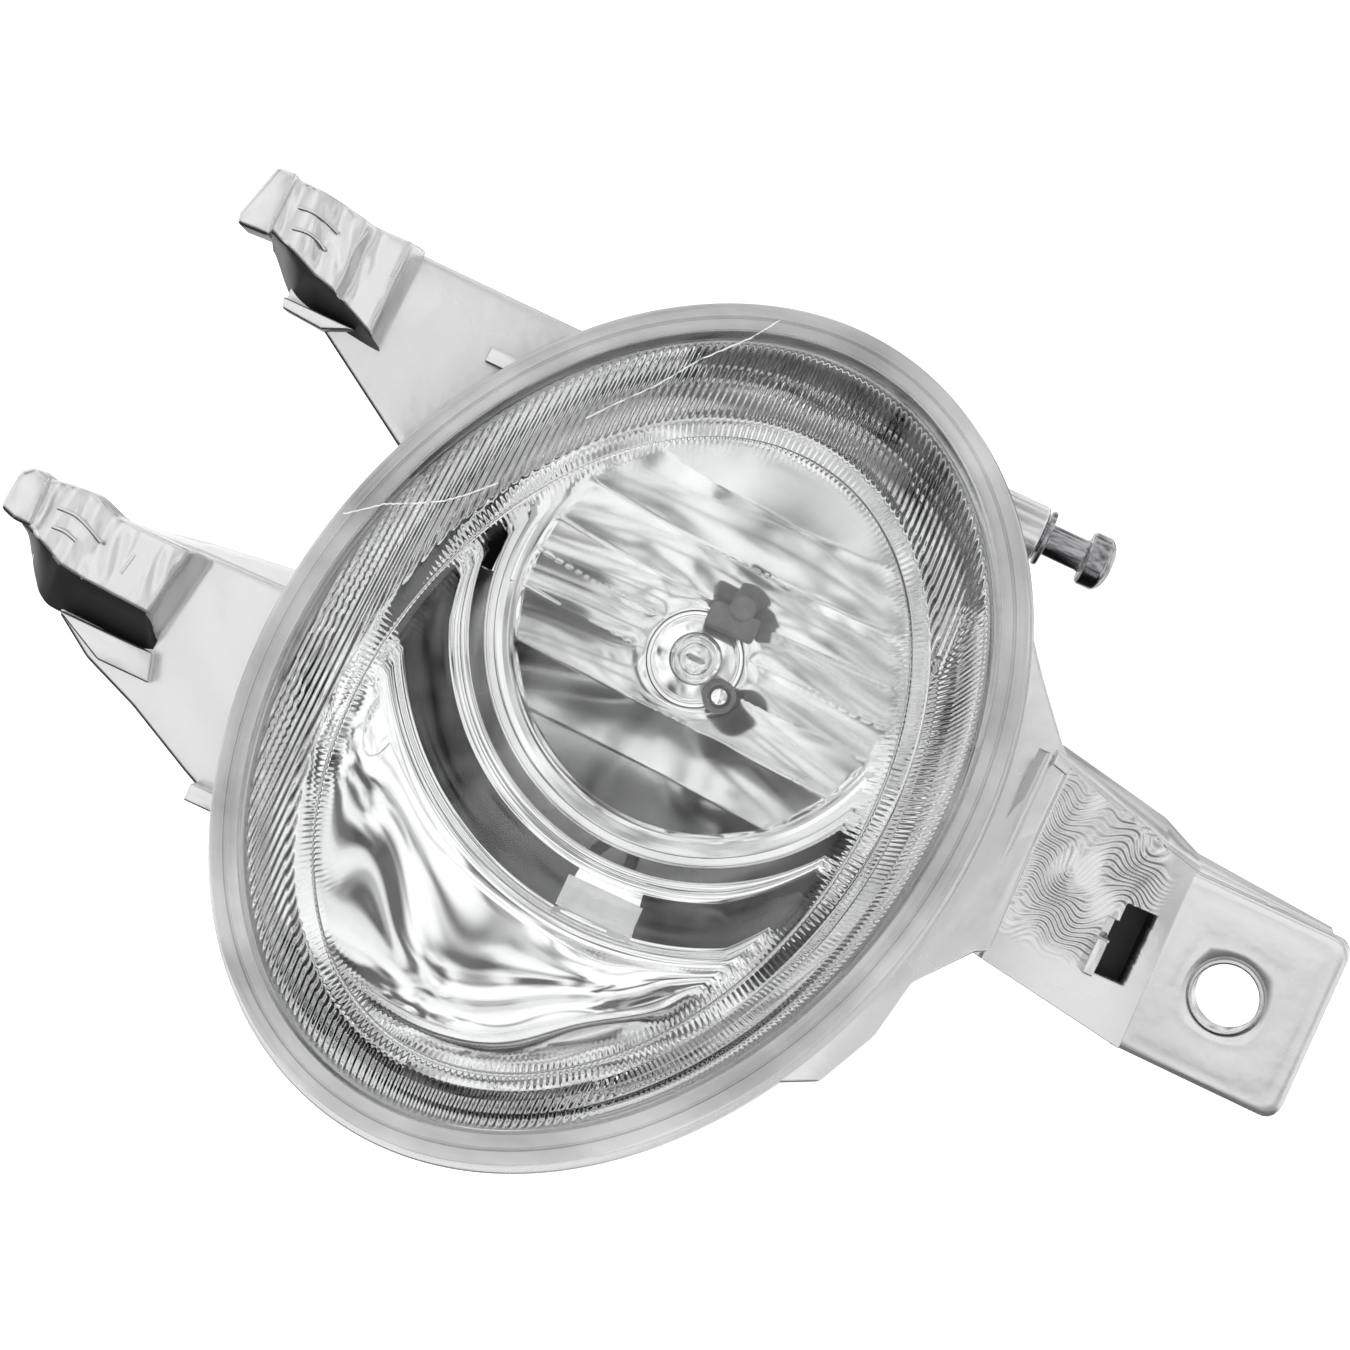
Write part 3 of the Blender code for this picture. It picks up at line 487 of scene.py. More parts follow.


def bezel_profile(extra, back, sides=480):
    """Rings from the round mouth out to the lens edge: lip, dark cone, step and bowl."""
    edge = oval(9.1 - extra, 0, sides=4000)
    angles = np.arctan2(edge[:, 2], edge[:, 0])
    order = np.argsort(angles)
    turn = np.arange(sides) * 2 * pi / sides - pi
    radius = np.interp(turn, angles[order], np.hypot(edge[:, 0], edge[:, 2])[order],
                       period=2 * pi)
    unit = np.stack([np.cos(turn), np.zeros(sides), np.sin(turn)], 1)
    outer = unit * radius[:, None]
    outer[:, 1] = rim_y(outer[:, 0], outer[:, 2]) + EDGE_OFF + back
    inner = unit * (BEZEL_R + extra) + np.array([0, BEZEL_Y + back, 0])
    reach = (radius - BEZEL_R - extra)[:, None]
    fit = np.clip(reach / FULL_REACH, 0.02, 1)
    steps = [(0, 0.6), (0.15, 0.1), (0.6, -0.35), (1.1, -0.4), (1.6, -0.1), (1.9, 0.35),
             (2.4, 0.5), (2.9, 0.3), (3.4, -0.2), (5, -1.3), (7, -2.5), (9, -3.5), (10.6, -4.1),
             (11.2, -4.5), (11.7, -5.6), (12.2, -6.6), (12.9, -7.1), (13.8, -7.2), (14.6, -6.9)]
    rings = []
    for out, rise in steps:
        ring = inner + unit * out * fit
        ring[:, 1] = BEZEL_Y + back + rise * fit[:, 0]
        rings.append(ring)
    slant = turn * 11 + 2.2 * np.sin(2 * turn + 0.6)
    for k in range(1, BOWL_STEPS + 1):
        share = k / BOWL_STEPS
        ring = sweep(outer, rings[len(steps) - 1], 1 - share)
        calm = sin(pi * share) ** 0.7 if share < 1 else 0
        wave = np.sin(slant + 5 * share) + 0.6 * np.sin(1.7 * slant - 7 * share + 1.3)
        ring[:, 1] += 0.85 * calm * fit[:, 0] ** 2 * wave
        rings.append(ring)
    for out, fore in ((0.5, 0.3), (1.0, 0.4), (1.5 - 0.2 * extra, 0.4)):
        ring = outer + unit * out
        ring[:, 1] = rim_y(ring[:, 0], ring[:, 2]) + EDGE_OFF + back - fore
        rings.append(ring)
    return rings


def bezel():
    """The chrome trim between the lens and the reflector, and a blank pad on it."""
    front = bezel_profile(0, 0)
    points, faces = skin(front + bezel_profile(1.6, 1.6)[::-1], True)
    zones = np.zeros(len(faces), int)
    sides = len(front[0])
    turn = np.degrees(np.arange(sides) * 2 * pi / sides - pi)
    dark = np.abs((turn - PAD_TURN + 180) % 360 - 180) > PAD_HALF
    shade = (turn > SHADE_TURN[0]) & (turn < SHADE_TURN[1])
    # The cone is dark chrome all round except by the pad; a sector of the wall is dark chrome as a
    # painted reflection
    for rows, dark_and_painted_reflection in ((CONE_ROWS, dark), (WALL_ROWS, shade)):
        for k in rows:
            zones[k * sides:(k + 1) * sides] = dark_and_painted_reflection
    obj = piece("bezel_trim", points, faces, ["chrome", "dark_and_painted_reflection"], slot="chrome_trim", sharp=60,
                zones=zones)
    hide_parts("bezel")
    surface = np.concatenate(front)
    high, wide = 8, 16
    step = wide + 1
    front_points = []
    for k in range(high + 1):
        for m in range(wide + 1):
            x, z = -5.2 + 13.6 * m / wide, -50.6 + 5.2 * k / high
            near = np.argsort((surface[:, 0] - x) ** 2 + (surface[:, 2] - z) ** 2)[:6]
            front_points.append((x, surface[near, 1].mean() - 0.35, z))
    back_points = [(x, y + 0.8, z) for x, y, z in front_points]
    quads = [(r * step + c, r * step + c + 1, (r + 1) * step + c + 1, (r + 1) * step + c)
             for r in range(high) for c in range(wide)]
    rim = ([c for c in range(step)] + [r * step + wide for r in range(1, high + 1)]
           + [high * step + c for c in range(wide - 1, -1, -1)]
           + [r * step for r in range(high - 1, 0, -1)])
    n = len(front_points)
    walls = [(a, b, b + n, a + n) for a, b in zip(rim, rim[1:] + rim[:1])]
    pad = Shape()
    pad.add(front_points + back_points,
            quads + [tuple(i + n for i in q) for q in quads] + walls)
    pad.make("bezel_pad", "silver", slot="chrome_trim")


def dish_y(r):
    """Depth of the reflector's dish, a parabola."""
    share = (r * r - VERTEX_R ** 2) / (MOUTH_R ** 2 - VERTEX_R ** 2)
    return VERTEX_Y + (LIP_Y + GAP - VERTEX_Y) * share


BANDS = (-60, -34, -24.5, -15, -6.5, 0.0, 6.5, 14.5, 24.0, 60)  # creases across the dish
FLAT_BAND = 20  # a band this wide has no cushion


def pillow(value, edges):
    """Height of a row of shallow cushions with creases at the edges; a wide one is flat."""
    edges = np.asarray(edges, float)
    k = np.clip(np.searchsorted(edges, value) - 1, 0, len(edges) - 2)
    low, high = edges[k], edges[k + 1]
    t = (value - low) / (high - low)
    return np.where(high - low < FLAT_BAND, 4 * t * (1 - t) * (high - low) / 8, 0)


def reflector():
    """The dish with its cushions and lip, its pivot ears, drive block and clip posts."""
    sides = 360
    t = np.arange(sides) * 2 * pi / sides

    def ring(r, y, shift=None):
        """A ring centred on the mouth's axis at the lip and on the bulb's at the vertex."""
        share = np.clip((y - LIP_Y) / (VERTEX_Y - LIP_Y), 0, 1) if shift is None else shift
        x, z = BULB[0] * share + r * np.cos(t), BULB[1] * share + r * np.sin(t)
        return np.stack([x, np.full(sides, float(y)), z], 1)

    front = [ring(VERTEX_R, SEAT_Y), ring(VERTEX_R, VERTEX_Y + 0.3)]
    for r in np.linspace(VERTEX_R + 0.2, MOUTH_R, 90):
        made = ring(r, dish_y(r))
        fade = smooth(r, VERTEX_R, VERTEX_R + 3) * (1 - smooth(r, MOUTH_R - 1.0, MOUTH_R))
        x, z = made[:, 0], made[:, 2]
        rise = (0.6 * pillow(z + 0.04 * x, BANDS)
                + 0.22 * np.sin(0.16 * x + 0.6) * np.cos(0.19 * z))
        made[:, 1] -= fade * rise
        front.append(made)
    lip = [(MOUTH_R + out, back) for out, back in
           ((0.15, 0.1), (0.5, -0.1), (0.9, 0.1), (1.1, 0.8), (2.0, 1.5), (3.2, 1.5), (4.2, 0.8))]
    lip += [(LIP_R - 0.5, 0.1), (LIP_R - 0.1, 0.2), (LIP_R, 0.6), (LIP_R, 2.4)]
    front += [ring(r, LIP_Y + back, 0) for r, back in lip]
    rear = [ring(r, dish_y(r - 1.4) + 1.8) for r in np.linspace(36.6, 14, 24)]
    rings = front + rear + [ring(14, SEAT_Y)]
    shape = Shape()
    shape.rings(rings, closed=True)
    for side in (-1, 1):
        low, high = sorted((side * 33, side * 40.8))
        shape.box((low, 29.4, -5.5), (high, 31.2, 5.5))
        low, high = sorted((side * 38.2, side * 40.8))
        shape.box((low, 29.4, -5.5), (high, 39.2, 5.5))
    x, z = BULB
    shape.box((-5, 44.8, 22), (5, 52.5, 36.5))
    shape.box((-5, 50.7, 16), (5, 52.5, 22.5))
    shape.box((x - 4.5, 55, z + 12.5), (x + 4.5, 64, z + 17.5))
    shape.box((x - 3, 54, z - 18), (x + 3, 63, z - 14.5))
    shape.box((x - 3, 55, z - 18), (x + 3, 57.5, z - 12))
    shape.box((x + 11, 55.4, z - 12), (x + 20, SEAT_Y, z - 3))
    obj = shape.make("reflector_dish", "mirror", body="reflector", slot="mirror_coat", sharp=14)
    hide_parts("reflector")


def bulb():
    """The bulb's glass, coil and collar, and the holder in front of its foot."""
    x, z = BULB
    tip = [(4.6 * sin(a), 40.6 - 4.6 * cos(a)) for a in np.linspace(0.03, pi / 2, 14)]
    inside = [(3.8 * sin(a), 40.6 - 3.8 * cos(a)) for a in np.linspace(pi / 2, 0.03, 14)]
    glass = Shape()
    glass.turn(tip + [(4.6, 54), (3.8, 54)] + inside, BULB_AXIS, sides=64)
    obj = glass.make("bulb_glass", "glass", body="reflector", slot="bulb_glass")
    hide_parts("bulb_envelope")
    coil = Shape()
    for side in (-1, 1):
        out, end = x + side * 1.8, x + side * 1.5
        coil.tube([(out, 54.1, z), (out, 46, z), (out, 43.6, z), (end, 43, z)], 0.25)
    turns, sides, path = 9, 8, []
    for k in range(turns * sides + 1):
        a = 2 * pi * k / sides
        path.append((x - 1.5 + 3.0 * k / (turns * sides), 43 + 0.55 * cos(a), z + 0.55 * sin(a)))
    coil.tube(path, 0.12, 6)
    obj = coil.make("bulb_coil", "steel", body="reflector", slot="filament_metal")
    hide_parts("bulb_filament")
    base = Shape()
    base.turn([(0.3, 54.3), (6.9, 54.3), (7.6, 54.7), (7.9, 55.4), (7.9, SEAT_Y + GAP),
               (11.6, SEAT_Y + GAP), (12, SEAT_Y + 0.6), (12, SEAT_Y + 1.2), (11.7, SEAT_Y + 1.5),
               (7, SEAT_Y + 1.5), (7, 63), (0.3, 63)], BULB_AXIS, sides=96)
    obj = base.make("bulb_collar", "mirror", body="reflector", slot="bulb_metal")
    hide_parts("bulb_base")
    foot = Shape()
    foot.box((-2.6, 50.2, 2.2), (6.6, 53.8, 6.8), 0.7)
    foot.turn([(0.2, 49.2), (1.9, 49.2), (2.3, 49.6), (2.3, 54)], (2.6, 0, 7.4), sides=40)
    foot.turn([(2.0, 50.2), (2.2, 49.8), (2.7, 49.8), (3.0, 50.2), (3.0, 53.8), (2.0, 53.8)],
              (5.4, 0, -8.2), sides=48, closed=True)
    foot.make("bulb_holder", "ceramic", body="reflector", slot="bulb_metal")
    hub = Shape()
    hub.turn([(0.1, 50.5), (1.4, 50.7), (1.9, 51.4), (1.9, 54)], (5.4, 0, -8.2), sides=40)
    hub.make("bulb_contact", "mirror", body="reflector", slot="terminal_metal")


# ---------------------------------------------------------------- housing
def shell():
    """The housing's flange, bowl and neck, with a groove for the lens leg."""
    sides, steps = 288, 24
    face = RIM_BACK + GAP

    def one(inset, off, **shape):
        return oval(inset, off, sides=sides, **shape)

    def necks(rings):
        return [circle(r, y, BULB, sides) for r, y in rings]

    def bowl(inset):
        start = one(BOWL_IN + inset, FLANGE_DEEP)
        end = circle(BACK_R - inset, BACK_Y - inset, BULB, sides)
        return [sweep(start, end, k / steps) for k in range(steps + 1)]

    outer = [one(inset, off, **FLANGE) for inset, off in
             ((1.0, face), (0.3, face + 0.25), (0, face + 0.9), (0, FLANGE_DEEP - 1.0),
              (0.4, FLANGE_DEEP - 0.3), (1.2, FLANGE_DEEP))]
    outer += bowl(0)
    outer += necks([(BACK_R - 1.5, BACK_Y + 0.4), (NECK_R + 1.2, BACK_Y + 0.4),
                    (NECK_R + 0.2, BACK_Y + 0.9), (NECK_R, BACK_Y + 1.8),
                    (NECK_R, NECK_END - 0.6), (NECK_R - 0.6, NECK_END)])
    inner_r = NECK_R - NECK_WALL
    inner = necks([(inner_r + 0.5, NECK_END), (inner_r, NECK_END - 0.5),
                   (inner_r, BACK_Y - WALL)])
    inner += bowl(WALL)[::-1]
    inner += [one(inset, off) for inset, off in
              ((BOWL_IN + WALL, face), (5.1, face), (5.1, 10.3), (1.5, 10.3), (1.5, face))]
    body = Shape()
    body.rings(outer + inner, closed=True)
    obj = body.make("housing_shell", "silver", slot="housing_plastic")
    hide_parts("housing")


def hook(shape, stations, back_y, shear=0.0):
    """A hook lofted along X. A station is x, top z, lower z of the front, lower z of the
    back, and front y; its front edges are rounded."""
    round_edge = 0.7
    stations = np.asarray(stations, float)
    dense = np.arange(stations[0, 0], stations[-1, 0] + 0.01, 0.35)
    cols = [np.interp(dense, stations[:, 0], stations[:, k]) for k in range(1, 5)]
    kernel = np.ones(5) / 5
    cols = [np.convolve(np.pad(c, 2, mode="edge"), kernel, "valid") for c in cols]
    rings = []
    for x, top, low, keel, front in zip(dense, *cols):
        ring = [(back_y, top)]
        for a in np.linspace(0, pi / 2, 5):
            ring.append((front + round_edge * (1 - sin(a)), top - round_edge * (1 - cos(a))))
        for k in range(1, 8):
            z = top - round_edge + (low + round_edge - top + round_edge) * k / 8
            ring.append((front + 0.18 * sin(1.9 * x + 0.8 * z) * (abs(sin(0.21 * x)) > 0.4), z))
        lean = (keel - low) / (back_y - front)
        for a in np.linspace(0, pi / 2, 5):
            ring.append((front + round_edge * (1 - cos(a)),
                         low + round_edge * (1 - sin(a)) + lean * round_edge * (1 - cos(a))))
        for k in range(1, 5):
            ring.append((front + (back_y - front) * k / 4 * 0.999, low + (keel - low) * k / 4))
        rings.append([(x + shear * (z - top), y, z) for y, z in ring])
    shape.rings(rings)


def shaded(obj):
    """Paint the downward faces of the hooks near-black, as painted shade on their undersides."""
    mesh = obj.data
    normals = np.empty(len(mesh.polygons) * 3)
    mesh.polygons.foreach_get("normal", normals)
    normals = normals.reshape(-1, 3)
    # faces pointing down take the near-black finish: painted shade
    under = (normals[:, 2] < -0.55) & (normals[:, 1] < 0.3)
    mesh.polygons.foreach_set("material_index", under.astype(np.int32))


def arms():
    """The two arms on the left, each a plate with a hook, a nose, a ledge and fine relief."""
    def upper_y(x, z):
        return 20 + 0.12 * (x + 88)

    def upper_rear(x, z):
        return upper_y(x, z) + 3.5

    upper = Shape()
    upper.plate([(-30, 37.7), (-88, 37.7), (-88, 20.6), (-80.5, 19.4), (-61.9, 7.7), (-40, -6),
                 (-30, 0)], upper_y, upper_rear, size=0.6, trim=True)
    hook(upper, [(-93.6, 39.5, 30.0, 28.0, 10.4), (-91.8, 39.6, 29.2, 26.2, 10.9),
                 (-89.6, 39.5, 28.6, 23.8, 9.7), (-87, 39.3, 27.6, 21.4, 10.1),
                 (-84.4, 39.0, 26.4, 20.6, 11.2), (-82, 38.5, 25.8, 20.5, 10.4),
                 (-79.8, 38.1, 25.2, 20.4, 10.3), (-79.0, 38.0, 24.8, 20.3, 12.4),
                 (-78.2, 38.0, 24.4, 20.2, 13.1), (-75, 38.1, 23.0, 20.1, 13.2),
                 (-72.4, 38.2, 21.7, 20.0, 13.3), (-71.6, 38.2, 21.4, 20.0, 14.0),
                 (-70.4, 38.2, 20.2, 20.0, 20.5)], 22.6)
    upper.plate([(-98.9, 28.6), (-99.4, 30.1), (-96.8, 39.8), (-93.2, 40.1), (-93.4, 28.9)],
                9, 20.5, size=0.9)
    upper.plate([(-88, 21.4), (-87.4, 19.6), (-80.2, 19.1), (-75.1, 21.4)], 16, 23, size=0.35)
    upper.plate([(-54, 26), (-54, 28.6), (-46, 28.6), (-46, 26)], 21, 27, size=0.3)
    upper.tube([(-91, 10.0, 35.3), (-88.5, 9.6, 35.6), (-86, 10.2, 35.1), (-83.6, 10.8, 34.2)],
               0.34)
    upper.tube([(-90.5, 9.9, 31.8), (-88, 9.8, 32.2), (-86, 10.2, 31.8), (-84.4, 10.9, 30.8)],
               0.34)
    upper.tube([(-79.3, 11.4, 36.6), (-80.1, 11.0, 33.5), (-80.6, 10.6, 31)], 0.3)
    shaded(upper.make("upper_arm", ["silver", "shade"], slot="housing_plastic", sharp=50))

    lower = Shape()
    lower.plate([(-40, -21.5), (-80.7, -22.6), (-99.8, -24.6), (-100.4, -41.6), (-93.2, -46.4),
                 (-82.8, -50.5), (-70.4, -56.7), (-50, -66), (-40, -60)], 22, 25.5, size=0.6,
                trim=True)
    hook(lower, [(-109.2, -21.8, -30.4, -31.6, 12.4), (-107.4, -21.4, -30.8, -33.8, 12.9),
                 (-104.8, -21.1, -31.8, -37.0, 11.6), (-102, -20.9, -33.0, -40.0, 12.4),
                 (-99.8, -21.6, -34.0, -41.3, 11.8), (-96.8, -22.7, -34.4, -41.5, 12.7),
                 (-95.4, -22.8, -34.5, -41.5, 12.1), (-90, -22.8, -34.8, -41.6, 12.1),
                 (-84.2, -22.8, -35.1, -41.8, 12.2), (-83.6, -22.8, -35.2, -41.8, 12.8),
                 (-80.6, -23.0, -38.5, -41.8, 21.4)], 23, shear=0.16)
    lower.plate([(-114.8, -29.4), (-114.2, -22.8), (-112.1, -21.1), (-109, -21.9), (-109, -30.4),
                 (-112.1, -30.4)], 11, 22.5, size=0.9)
    lower.plate([(-100, -41), (-82.9, -41), (-81.5, -45.7), (-90.8, -45.7)], 17.5, 22.5, size=0.35)
    lower.plate([(-68, -60.5), (-68, -57.5), (-60, -57.5), (-60, -60.5)], 16, 23, size=0.3)
    lower.bevelled([[(-97, 24, -23.4), (-97, 28, -23.2), (-97, 28, -25), (-97, 24, -25.6)],
                    [(-84, 24, -22.2), (-84, 32, -20.6), (-84, 32, -22.6), (-84, 24, -25)],
                    [(-50, 24, -21.5), (-50, 38, -16), (-50, 38, -18.4), (-50, 24, -24)]], 0.4,
                   trim=True)
    lower.tube([(-106.2, 11.8, -25.6), (-103, 11.7, -25.4), (-100.5, 11.6, -26.3),
                (-97.5, 12.2, -27.8)], 0.34)
    lower.tube([(-105.8, 11.9, -28.8), (-103.4, 11.8, -28.6), (-101.2, 11.8, -29.3)], 0.34)
    lower.tube([(-91.6, 12.0, -27.2), (-92.4, 12.0, -31)], 0.25)
    shaded(lower.make("lower_arm", ["silver", "shade"], slot="housing_plastic", sharp=50))


def web_grid():
    """The tab's web: a fine sheet with shallow contour ripples and an open slot."""
    nx, nz = 210, 250
    u, v = np.meshgrid(np.linspace(0, 1, nx), np.linspace(0, 1, nz), indexing="ij")
    top_right, low_right = tab_point(-12.3, 0.0, 16.3), tab_point(-12.3, 0.0, -15.2)
    corners = [np.array(c, float) for c in ((56, -4.2, 6.3), (56, -4.2, -27.5))]
    corners += [np.array(top_right), np.array(low_right)]
    left = corners[0] + (corners[1] - corners[0]) * v[..., None]
    right = corners[2] + (corners[3] - corners[2]) * v[..., None]
    points = left + (right - left) * u[..., None]
    x, z = points[..., 0], points[..., 2]
    swirl = np.exp(-((x - 67) ** 2 + (z + 10.5) ** 2) / 14)
    level = (z + 1.1 * np.sin(0.42 * x + 0.2 * z) + 0.7 * np.sin(0.9 * x - 0.35 * z + 1)
             + 4.0 * swirl - 1.5 * smooth(x, 66, 80) * np.sin(0.5 * z))
    quiet = smooth(x, 59.2, 60.6) * (1 - smooth(x, 78, 84)) * smooth(z, -24, -19)
    points[..., 1] += 0.07 * quiet * np.sin(2 * pi * level / 1.15)
    points[..., 1] += 0.8 * (1 - smooth(x, 59.2, 60.0)) * smooth(x, 56.2, 57)
    index = np.arange(nx * nz).reshape(nx, nz)
    cell_x, cell_z = x[:-1, :-1], z[:-1, :-1]
    slot = (cell_x > 77.5) & (cell_x < 83) & (cell_z > -22.7) & (cell_z < -10.1)
    side_notch = (cell_x > 75.6) & (cell_x < 77.6) & (cell_z > -16.9) & (cell_z < -13.4)
    keep = ~(slot | side_notch)
    quads = np.stack([index[:-1, :-1], index[1:, :-1], index[1:, 1:], index[:-1, 1:]], -1)[keep]
    used = np.unique(quads)
    renumber = np.full(nx * nz, -1)
    renumber[used] = np.arange(len(used))
    return points.reshape(-1, 3)[used], renumber[quads]


def tab():
    """The web with its slot and pocket, its root and gusset, the tab and its bush."""
    points, quads = web_grid()
    obj = piece("tab_web", points, quads.tolist(), "silver", slot="housing_plastic")
    normal_y = obj.data.polygons[0].normal.y
    thick = obj.modifiers.new("thickness", "SOLIDIFY")
    thick.thickness, thick.offset = 2.9 * MM, -1 if normal_y < 0 else 1

    def root_y(x, z):
        return rim_y(x, z) + RIM_BACK + 2 * GAP

    def root_rear(x, z):
        return root_y(x, z) + 4

    shape = Shape()
    shape.plate([(36, 34), (44.5, 25), (50.5, 17), (57.5, 8.6), (60, 6), (60, -26.5),
                 (58, -27.5), (51, -36), (49, -46), (44, -56), (36, -60)],
                root_y, root_rear, size=0.6, trim=True)
    gusset = [(57, -4.3, 6.8, 2.4, 20), (80, 1, 1.2, 4.0, 18), (86, 1.6, 0, 2.0, 9),
              (109, -3.8, -0.6, 0.7, 3.2)]
    shape.bevelled([[(x, y, z), (x, y + deep, z + rise), (x, y + deep, z + rise - 2.4),
                     (x, y, z - 2.2)] for x, y, z, rise, deep in gusset], 0.35)
    shape.box((75.5, -1.6, -23.4), (77.3, 2.6, -17.2), 0.3)
    wide = [(75.5, -24.5), (85, -24.5), (85, -8), (75.5, -8)]
    narrow = [(77.4, -22.8), (83.1, -22.8), (83.1, -10), (77.4, -10)]
    points, faces = skin([[(x, y, z) for x, z in outline] for outline, y in
                          ((narrow, 12), (narrow, 3.4), (wide, 3.4), (wide, 14))], False)
    # The slot's walls and the face behind it take the near-black finish: painted shade inside the
    # slot
    piece("slot_pocket", points, faces, ["silver", "shade"], slot="housing_plastic",
          zones=[1] * 4 + [0] * 8 + [1, 0])
    r, right, top, low = 2.6, 15.0, 16.3, -15.2
    outline = [(-14, low), (right - r, low)]
    outline += [(right - r + r * sin(a), low + r - r * cos(a)) for a in np.linspace(0.2, 1.4, 6)]
    outline += [(right, low + r), (right, top - r)]
    outline += [(right - r + r * cos(a), top - r + r * sin(a)) for a in np.linspace(0.2, 1.4, 6)]
    outline += [(right - r, top), (-14, top)]
    loop = resample(outline, 128)
    hole = np.array([(6.2 * cos(a), 6.2 * sin(a)) for a in np.arctan2(loop[:, 1], loop[:, 0])])

    def at(ring, y, shrink=0.0):
        out = ring - np.array([0.5, 0.5])
        moved = ring - out / np.linalg.norm(out, axis=1, keepdims=True) * shrink
        return [tab_point(x, y, z) for x, z in moved]

    rings = [at(hole, 0.3), at(hole * 1.06, 0.0)]
    rings += [at(hole + (loop - hole) * s, 0.06 * sin(9 * s)) for s in (0.15, 0.3, 0.5, 0.7, 0.85)]
    rings += [at(loop, 0, 0.9), at(loop, 0.15, 0.35), at(loop, 0.5), at(loop, TAB_THICK - 0.5),
              at(loop, TAB_THICK, 0.6), at(hole * 1.06, TAB_THICK), at(hole, TAB_THICK - 0.3)]
    shape.rings(rings, closed=True)
    shape.make("screw_tab", "silver", slot="housing_plastic", sharp=50)

    bush = Shape()
    profile = [(5.35, TAB_THICK), (5.35, 0.0), (5.45, -0.4), (5.8, -0.5), (6.1, -0.4), (6.2, 0.0),
               (6.2, TAB_THICK)]
    sides = 72
    bush.rings([[tab_point(r * cos(2 * pi * k / sides), y, r * sin(2 * pi * k / sides))
                 for k in range(sides)] for r, y in profile], closed=True)
    obj = bush.make("tab_bush_ring", "steel", slot="bush_steel")
    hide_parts("tab_bush")


def resample(outline, count):
    """Evenly spaced points round a closed outline."""
    points = np.array(outline + outline[:1], float)
    steps = np.linalg.norm(np.diff(points, axis=0), axis=1)
    along = np.concatenate([[0], np.cumsum(steps)])
    spots = np.arange(count) * along[-1] / count
    return np.stack([np.interp(spots, along, points[:, k]) for k in (0, 1)], 1)


def lugs(shape, depths, low, high):
    """Three bayonet lugs round the bulb's axis, from a low to a high radius."""
    for k in range(3):
        turned = Matrix.Rotation(2 * pi * k / 3, 4, "Y")
        shape.bevelled([[turned @ Vector((x, y, z)) + Vector(BULB_AXIS) for x, z in
                         ((-4, low), (4, low), (4, high), (-4, high))] for y in depths], 0.3)


def fittings():
    """Boss of the aim screw, plug socket, breather stub, bayonet lugs and pivot posts."""
    shape = Shape()
    shape.turn([(3.1, 18.6), (5.1, 18.6), (5.1, 42.2), (4.8, 42.7), (4.2, 42.9), (3.1, 42.9)],
               AIM_AXIS, "X", 72, closed=True)
    shape.rings([[(-x, y, low), (x, y, low), (x, y, high), (-x, y, high)] for x, y, low, high in
                 ((11, 61, -57.7, -43.3), (11, 82, -57.7, -43.3), (9, 82, -56, -45),
                  (9, 69, -56, -45))])
    shape.turn([(1.5, 60), (3, 60), (3, 70), (1.5, 70)], BREATHER, "Y", 40, closed=True)
    lugs(shape, (71, 73.2), 30.5, 33.6)
    for low, high in (((41.8, 29.5, -5), (60, 38.5, 5)), ((-70, 29.5, -5), (-41.8, 38.5, 5)),
                      ((-17, 34, 44.5), (16, 39, 60))):
        post = Shape()
        post.box(low, high)
        shape.add(*carved((post.points, post.faces), cavity(), "INTERSECT"))
    shape.make("housing_fittings", "silver", slot="housing_plastic", sharp=50)


def adjuster():
    """The aim screw: shank, two grooves, collar and knob."""
    screw = Shape()
    groove = 2.0
    screw.turn([(0.4, -16), (2.3, -16), (2.8, -15.3), (2.8, 17.1), (groove, 17.1), (groove, 18.4),
                (2.8, 18.4), (2.8, 37), (groove, 37), (groove, 39.6), (2.8, 39.6), (2.8, 43.2),
                (4.7, 43.2), (4.9, 43.4), (4.9, 43.9), (4.7, 44.1), (2.9, 44.1), (2.8, 44.4),
                (2.8, 50.5), (3.0, 51.0), (4.4, 51.2), (4.75, 51.6), (4.75, 54.2), (4.45, 54.8),
                (3.6, 55.5), (2.4, 55.95), (1.2, 56.1), (0.3, 56.1)], AIM_AXIS, "X", 96)
    obj = screw.make("aim_screw", "dark_steel", body="adjuster_screw", slot="adjuster_steel",
                     sharp=30)
    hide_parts("adjuster_screw")


